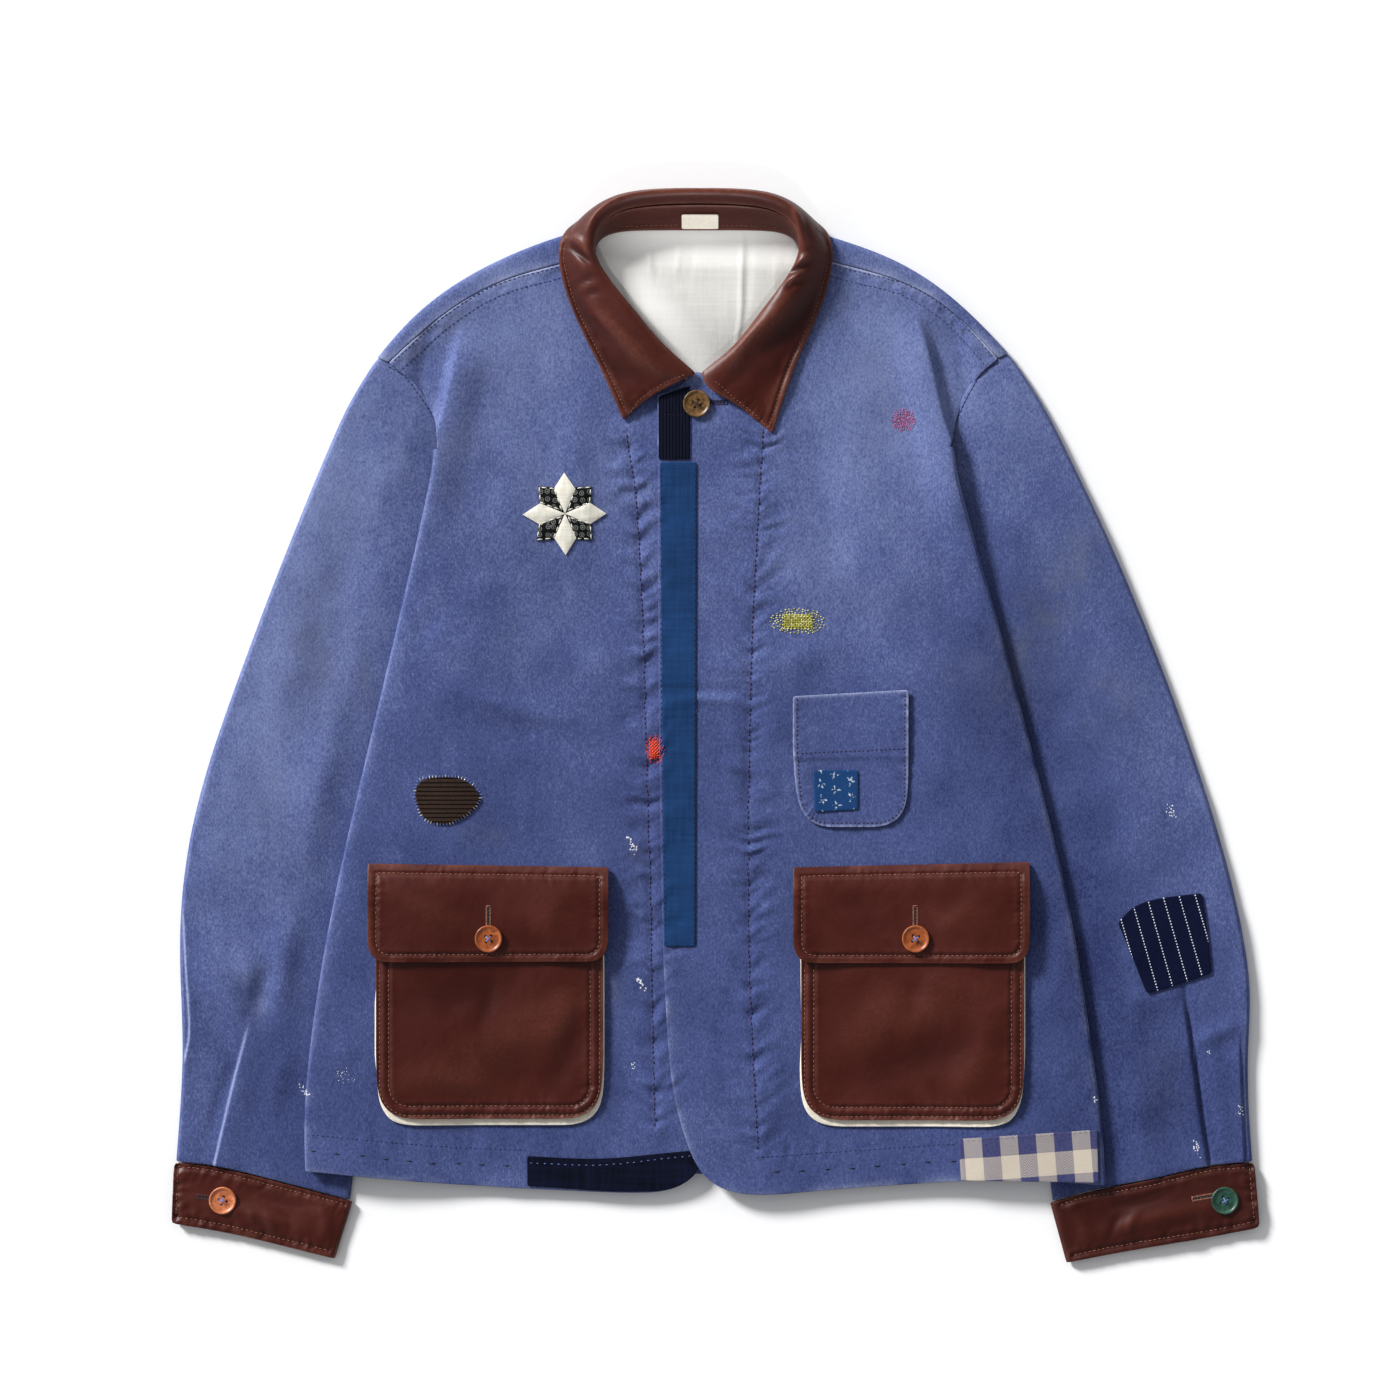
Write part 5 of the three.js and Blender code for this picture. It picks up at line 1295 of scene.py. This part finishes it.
def weaveCore(darn):
    (cx, cy), (w, h), (main, second) = darn["middle"], darn["core"], darn["threads"]
    for axis, half, span in ((0, h, w), (1, w, h)):
        for k in range(int(2 * half / darn["pitch"]) + 1 if half else 0):
            level = -half + k * darn["pitch"]
            for part in np.arange(-span, span, 2.6):
                start = part + (1.3 if (k + axis) % 2 else 0)
                end = min(start + 2.2, span)
                thread = second if darn["mixed"] and draw.random() < darn["mixed"] else main
                ends = ((start, level), (end, level)) if axis == 0 else ((level, start), (level, end))
                addStitch(thread, "body", *[(cx + u, cy + v) for u, v in ends], 1.0, 0.7)

def scatterSeeds(darn):
    (cx, cy), (w, h), (rx, ry), (main, second) = [darn[k] for k in ("middle", "core", "spread", "threads")]
    laid = []
    for k in range(darn["seeds"]):
        angle, reach = draw.uniform(0, 2 * math.pi), draw.random() ** (0.6 if w else 0.8)
        if darn["mixed"] and draw.random() > 1.35 - 0.8 * reach:  # fewer further out
            continue
        sx, sy = cx + rx * reach * math.cos(angle), cy + ry * reach * math.sin(angle)
        inCore = abs(sx - cx) < w and abs(sy - cy) < h
        if inCore or any(math.dist(spot, (sx, sy)) < darn["apart"] for spot in laid):
            continue
        laid.append((sx, sy))
        lean = (angle if darn["lean"] is None else darn["lean"]) + draw.gauss(0, 0.3)
        long = draw.uniform(*darn["long"])
        u, v = long * math.cos(lean), long * math.sin(lean)
        thread = main if draw.random() < 0.4 else second
        addStitch(thread, "body", (sx - u, sy - v), (sx + u, sy + v), darn["width"], 0.5)

for darn in darns.values():
    weaveCore(darn)
    scatterSeeds(darn)
print("darns worked:", len(darns))

# Buttonholes: a slit in dark thread, close bars of thread along both lips and across the ends
buttonholes = {  # surface, middle, half length, turn in degrees, thread of the bars
    "flapRight": ("leather", (-167, -141), 8.5, 90, "tanThread"),
    "flapLeft": ("leather", (147, -141), 8.5, 90, "tanThread"),
    "cuffRight": ("leather", (-375.5, -348), 7.5, -6, "oxbloodThread"),
    "cuffLeft": ("leather", (361, -347.5), 8.5, 10, "tanThread"),
    "neck": ("body", (0, 239), 8, 0, "violetThread"),
}
slitStep, barStep = 2.4, 0.9

def turnedPlace(middle, turn, u, v):  # in plan, u along and v across a line turned about its middle
    c, s = math.cos(math.radians(turn)), math.sin(math.radians(turn))
    return middle[0] + u * c - v * s, middle[1] + u * s + v * c

for surface, middle, half, turn, thread in buttonholes.values():
    slit = [-half + slitStep * k + 0.4 for k in range(int(half / (slitStep / 2)))]
    bars = [("inkThread", (u, 0), (u + slitStep, 0), 1.4, 0.1) for u in slit]
    for k in range(int(2 * half / barStep) + 1):
        u = -half + barStep * k
        bars += [(thread, (u, 0.6 * lip), (u + 0.1, 2.1 * lip), 0.8, 0.35) for lip in (-1, 1)]
    bars += [(thread, (end, -2.2), (end, 2.2), 0.9, 0.4) for end in (-half - 0.6, half + 0.6)]
    for barThread, start, end, width, bow in bars:
        addStitch(barThread, surface, turnedPlace(middle, turn, *start), turnedPlace(middle, turn, *end),
                  width, bow)
print("buttonholes sewn:", len(buttonholes))

def joinedPiece(name, corners, faces, finishNames):
    mesh = bpy.data.meshes.new(name)
    mesh.from_pydata(corners, [], faces)
    for finish in finishNames:
        mesh.materials.append(finishes[finish])
    piece = bpy.data.objects.new(name, mesh)
    bpy.context.scene.collection.objects.link(piece)
    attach(piece, "root")
    return piece

def makeThreads(name):  # five-sided, three rings: ends sunk in the cloth, middle bowed up
    corners, faces = [], []
    ring = [(math.cos(2 * math.pi * k / 5), math.sin(2 * math.pi * k / 5)) for k in range(5)]
    for a, b, normal, width, bow in threads[name]:
        ahead = (b - a).normalized()
        across = ahead.cross(normal).normalized()
        start = len(corners)
        for part, lift, size in ((0.0, -0.12, 0.55), (0.5, 1.0, 1.0), (1.0, -0.12, 0.55)):
            middle = a.lerp(b, part) + normal * (bow * lift)
            corners += [middle + across * (width / 2 * size * p) + normal * (width / 3 * size * q) for p,
                        q in ring]
        for level in (0, 5):
            faces += [[start + level + k, start + level + (k + 1) % 5, start + level + 5 + (k + 1) % 5,
                       start + level + 5 + k]
                      for k in range(5)]
        faces += [[start + 4 - k for k in range(5)], [start + 10 + k for k in range(5)]]
    piece = joinedPiece(name, corners, faces, [name])
    faceOutwards(piece)
    piece.data.polygons.foreach_set("use_smooth", [True] * len(faces))
    return piece

# Star: eight diamonds pieced to a point, cream on the axes and print between, each puffed at its middle
starPatch = {"middle": (-111, 157), "tips": (31.5, 29.0), "sides": ((20.1, 24), (21.4, 21.5)),
             "lift": (0.5, 0.15),
             "puff": 0.7, "thick": 0.6, "rumple": 0.25, "shrink": 0.985, "sewnIn": 0.93, "steps": 10}

def makeStar():
    cx, cy = starPatch["middle"]
    corners, faces, kinds = [], [], []
    n = starPatch["steps"]
    for k in range(8):
        angle = math.radians(45 * k + draw.uniform(-2, 2))
        tip = starPatch["tips"][k % 2] + draw.uniform(-1, 0.6)
        reach, spread = starPatch["sides"][k % 2]
        tipPoint = np.array([math.cos(angle), math.sin(angle)]) * tip
        turns = [angle + s * math.radians(spread) for s in (-1, 1)]
        sides = [np.array([math.cos(turn), math.sin(turn)]) * reach for turn in turns]
        start = len(corners)
        for level in (1, 0):
            for i in range(n + 1):
                for j in range(n + 1):
                    u, v = i / n, j / n
                    p = sides[0] * u * (1 - v) + sides[1] * v * (1 - u) + tipPoint * u * v
                    p = p * starPatch["shrink"]
                    spot, normal = drop("body", cx + p[0], cy + p[1])
                    fullness = (1 - (2 * u - 1) ** 4) * (1 - (2 * v - 1) ** 4)
                    rise = starPatch["lift"][k % 2]
                    if level:
                        rumple = starPatch["rumple"] * softNoise(np.array([p[0] + 40 * k]), np.array([p[1]]),
                                                                 4, 77)[0]
                        rise += starPatch["thick"] + starPatch["puff"] * fullness + float(rumple) * fullness
                    corners.append(spot + Vector((0, 0, rise * mm)))
        size = (n + 1) ** 2
        for i in range(n):
            for j in range(n):
                a = start + i * (n + 1) + j
                quad = [a, a + n + 1, a + n + 2, a + 1]
                faces += [quad, [q + size for q in reversed(quad)]]
                kinds += [k % 2, k % 2]
        rim = [i * (n + 1) for i in range(n)] + [n * (n + 1) + j for j in range(n)]
        rim += [(n - i) * (n + 1) + n for i in range(n)] + [n - j for j in range(n)]
        for a, b in zip(rim, rim[1:] + rim[:1]):
            faces.append([start + b, start + a, start + a + size, start + b + size])
            kinds.append(k % 2)
        if k % 2:  # white running stitches just inside each printed diamond
            left, right = (side * starPatch["sewnIn"] for side in sides)
            ring = [tipPoint * 0.12, left, tipPoint * 0.95, right, tipPoint * 0.12]
            starStitches.append([(cx + q[0], cy + q[1]) for q in ring])
    piece = joinedPiece("starPatch", corners, faces, ["creamQuilting", "ringPrint"])
    piece.data.polygons.foreach_set("material_index", kinds)
    faceOutwards(piece)
    bpy.ops.object.shade_smooth_by_angle(angle=math.radians(50))
    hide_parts("star_patch")
    return piece

starStitches = []
pieces["starPatch"] = makeStar()
surfaces["star"] = surfaceOf(["starPatch", "frontRight"])
for ring in starStitches:
    for a, b in zip(ring, ring[1:]):
        stitchLine("whiteThread", "star", np.array([a, b]), length=3.4, gap=1.7, width=1.05, wander=0.12)
print("star pieced")

# Buttons: turned from a disc, with a raised rim, a dished middle and four drilled holes
buttonTurning = {"radius": 10, "thick": 3.4, "rim": 2.3, "dish": 0.9, "hole": 1.05, "holeOffset": 2.1}

def turnButton():
    b = buttonTurning
    bpy.ops.object.select_all(action="DESELECT")
    bpy.ops.mesh.primitive_cylinder_add(vertices=64, radius=b["radius"] * mm, depth=b["thick"] * mm,
                                        location=(0, 0, b["thick"] / 2 * mm))
    disc = bpy.context.object
    deselectFaces()
    for polygon in disc.data.polygons:
        polygon.select = polygon.normal.z > 0.9
    bpy.ops.object.mode_set(mode="EDIT")
    bpy.ops.mesh.inset(thickness=b["rim"] * 0.5 * mm, depth=0)
    bpy.ops.mesh.inset(thickness=b["rim"] * 0.5 * mm, depth=-b["dish"] * mm)
    bpy.ops.mesh.inset(thickness=b["radius"] * 0.22 * mm, depth=-0.25 * mm)
    bpy.ops.object.mode_set(mode="OBJECT")
    rounding = disc.modifiers.new("round", "BEVEL")
    rounding.width = 0.7 * mm
    rounding.segments = 3
    rounding.limit_method = "ANGLE"
    rounding.angle_limit = math.radians(20)
    bpy.ops.object.modifier_apply(modifier="round")
    for i in (-1, 1):
        for j in (-1, 1):
            bpy.ops.object.select_all(action="DESELECT")
            bpy.ops.mesh.primitive_cylinder_add(vertices=16, radius=b["hole"] * mm, depth=20 * mm,
                                                location=(i * b["holeOffset"] * mm, j * b["holeOffset"] * mm,
                                                          0))
            drill = bpy.context.object
            pick(disc)
            bore = disc.modifiers.new("bore", "BOOLEAN")
            bore.operation = "DIFFERENCE"
            bore.object = drill
            bpy.ops.object.modifier_apply(modifier="bore")
            bpy.data.objects.remove(drill)
    pick(disc)
    bpy.ops.object.shade_smooth_by_angle(angle=math.radians(40))
    return disc

fasteners = {  # node: piece, finish, slot, middle, turn, thread
    "button_neck": ("neckButton", "polishedHorn", "horn", (-14, 238), 20, "inkThread"),
    "button_pocket_right": ("pocketButtonRight", "tanCasein", "tan_button", (-167, -156), 5, "skyThread"),
    "button_pocket_left": ("pocketButtonLeft", "tanCasein", "tan_button", (147, -156), -8, "skyThread"),
    "button_cuff_right": ("cuffButtonRight", "rustCasein", "tan_button", (-364, -350), 30, "skyThread"),
    "button_cuff_left": ("cuffButtonLeft", "greenCasein", "green_button", (376, -350), -15, "skyThread"),
}
blank = turnButton()
for nodeName, (pieceName, finish, slotName, (bx, by), turn, thread) in fasteners.items():
    low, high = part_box(nodeName)
    pick(blank)
    bpy.ops.object.duplicate()
    button = bpy.context.object
    button.name = button.data.name = pieceName
    button.location = (bx * mm, by * mm, low.z)
    button.rotation_euler = (0, 0, math.radians(turn))
    bpy.ops.object.transform_apply(location=True, rotation=True, scale=True)
    button.data.materials.clear()
    button.data.materials.append(finishes[finish])
    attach(button, "root")
    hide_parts(nodeName)
    top = low.z + (buttonTurning["thick"] - buttonTurning["dish"] - 0.2) * mm
    o = buttonTurning["holeOffset"]
    for u, v in ((o, o), (o, -o), (o, o * 0.8), (o * 0.8, -o)):  # from one hole across to the opposite one
        places = [turnedPlace((bx, by), turn, *spot) for spot in ((-u, -v), (u, v))]
        start, end = (Vector((px * mm, py * mm, top)) for px, py in places)
        threads[thread].append((start, end, Vector((0, 0, 1)), 0.8 * mm, 0.5 * mm))
bpy.data.objects.remove(blank)
for name in threads:
    if threads[name]:
        makeThreads(name)
print("buttons sewn on, stitches:", sum(len(v) for v in threads.values()))

# Paint: crumbs of white emulsion spattered when the jacket was worn for work
spatter = {  # middle, half width, half length, crumbs, crumb size
    "front": [((-61, -88), 3.2, 5, 22, 1.1), ((-55, -190), 3, 4.5, 18, 1.0), ((-274, -258), 9, 6, 22, 0.55),
              ((-60, -252), 2.5, 4, 9, 0.6), ((280, -274), 3, 4, 10, 0.7)],
    "sleeves": [((336, -63), 5, 5, 18, 0.9), ((355, -310), 3, 6, 16, 0.9), ((388, -284), 4, 4, 12, 0.8),
                ((-303, -270), 5, 5, 16, 0.9), ((364, -240), 1.5, 1.5, 4, 0.7)],
}

def makePaintCrumbs():
    corners, faces = [], []
    for groups in spatter.values():
        for (cx, cy), rx, ry, count, size in groups:
            for k in range(count):
                t = draw.gauss(0, 0.5)
                px, py = cx + rx * (0.6 * t + draw.gauss(0, 0.35)), cy - ry * (t + draw.gauss(0, 0.3))
                spot, normal = drop("body", px, py)
                if spot is None:
                    continue
                start, sides, turn = len(corners), 7, draw.uniform(0, 6.28)
                w, h = size * draw.uniform(0.35, 1.0), size * draw.uniform(0.3, 0.7)
                corners.append(spot + normal * 0.16 * mm)
                for i in range(sides):
                    angle = 2 * math.pi * i / sides
                    u, v = w * math.cos(angle) * draw.uniform(0.7,
                                                              1.2), h * math.sin(angle) * draw.uniform(0.7,
                                                                  1.2)
                    c, s = math.cos(turn), math.sin(turn)
                    edge = drop("body", px + u * c - v * s, py + u * s + v * c)[0]
                    corners.append((edge or spot) + normal * 0.05 * mm)
                faces += [[start, start + 1 + i, start + 1 + (i + 1) % sides] for i in range(sides)]
    return joinedPiece("paintCrumbs", corners, faces, ["chalkyPaint"])

makePaintCrumbs()
print("paint spattered")

# Studio: a white table, a broad key from the upper left and an even fill
studio = {"floor": "f4f4f4", "key": 5.4, "keySoftness": 12, "keyFrom": (-0.73, 0.68, 0.45), "neckLamp": 24,
          "overhead": 0.08, "around": 0.95,
          "fromLeft": 0.3, "cameraHeight": 3.0}
bpy.ops.object.select_all(action="DESELECT")
bpy.ops.mesh.primitive_plane_add(size=12, location=(0, 0, -0.0002))
floor = bpy.context.object
floor.name = "floor"
floorMaterial, tree, shader, place = startMaterial("mattPaper", 0.9, 0.1)
tooth = addNode(tree, "TexNoise", None, {"Vector": place, "Scale": perMm(3), "Detail": 2.0}).outputs["Fac"]
paper = addNode(tree, "Mix", {"data_type": "RGBA"},
                {0: tooth, 6: linear("f2f2f2"), 7: linear(studio["floor"])}).outputs[2]
connect(tree, shader, {"Base Color": paper})
floor.data.materials.append(floorMaterial)

key = bpy.data.objects.new("key", bpy.data.lights.new("key", "SUN"))
key.data.energy = studio["key"]
key.data.angle = math.radians(studio["keySoftness"])
key.rotation_mode = "QUATERNION"
key.rotation_quaternion = Vector(studio["keyFrom"]).to_track_quat("Z", "Y")
bpy.context.scene.collection.objects.link(key)
# a small lamp from the foot of the table opens up the shade inside the neck
neckLamp = bpy.data.objects.new("neckLamp", bpy.data.lights.new("neckLamp", "SPOT"))
neckLamp.data.energy = studio["neckLamp"]
neckLamp.data.spot_size = math.radians(9.5)
neckLamp.data.spot_blend = 1.0
neckLamp.data.shadow_soft_size = 0.03
neckLamp.location = (-0.012, -0.3, 0.9)
neckLamp.rotation_mode = "QUATERNION"
neckLamp.rotation_quaternion = (neckLamp.location - Vector((-0.012, 0.368, 0.01))).to_track_quat("Z", "Y")
bpy.context.scene.collection.objects.link(neckLamp)
world = bpy.data.worlds.new("softFill")
world.use_nodes = True
tree = world.node_tree
towards = addNode(tree, "TexCoord").outputs["Generated"]
level = addNode(tree, "SeparateXYZ", None, {0: towards}).outputs[2]
ring = addNode(tree, "MapRange", None, {"Value": level, "To Min": studio["around"],
                                        "To Max": studio["overhead"]}).outputs[0]
side = addNode(tree, "VectorMath", {"operation": "DOT_PRODUCT"},
               {0: towards, 1: studio["keyFrom"]}).outputs["Value"]
glow = addNode(tree, "Math", {"operation": "MULTIPLY_ADD"},
               {0: side, 1: studio["fromLeft"], 2: 0.0}).outputs[0]
total = addNode(tree, "Math", {"operation": "ADD"}, {0: ring, 1: glow}).outputs[0]
tree.nodes["Background"].inputs["Color"].default_value = linear("fbfcff")
tree.links.new(total, tree.nodes["Background"].inputs["Strength"])
bpy.context.scene.world = world
bpy.context.scene.view_settings.view_transform = "Standard"

photoView = {"middle": (-11.5, 19.6), "width": 1036}
camera = bpy.data.objects.new("camera", bpy.data.cameras.new("camera"))
camera.location = (photoView["middle"][0] * mm, photoView["middle"][1] * mm, studio["cameraHeight"])
camera.data.lens = camera.data.sensor_width * studio["cameraHeight"] / (photoView["width"] * mm)
camera.data.clip_end = 50
bpy.context.scene.collection.objects.link(camera)
bpy.context.scene.camera = camera

counts = sorted((sum(len(f.vertices) - 2 for f in p.data.polygons), p.name)
                for p in bpy.data.objects if p.type == "MESH")
print("scene ready, triangles:", sum(count for count, name in counts), counts[-8:])
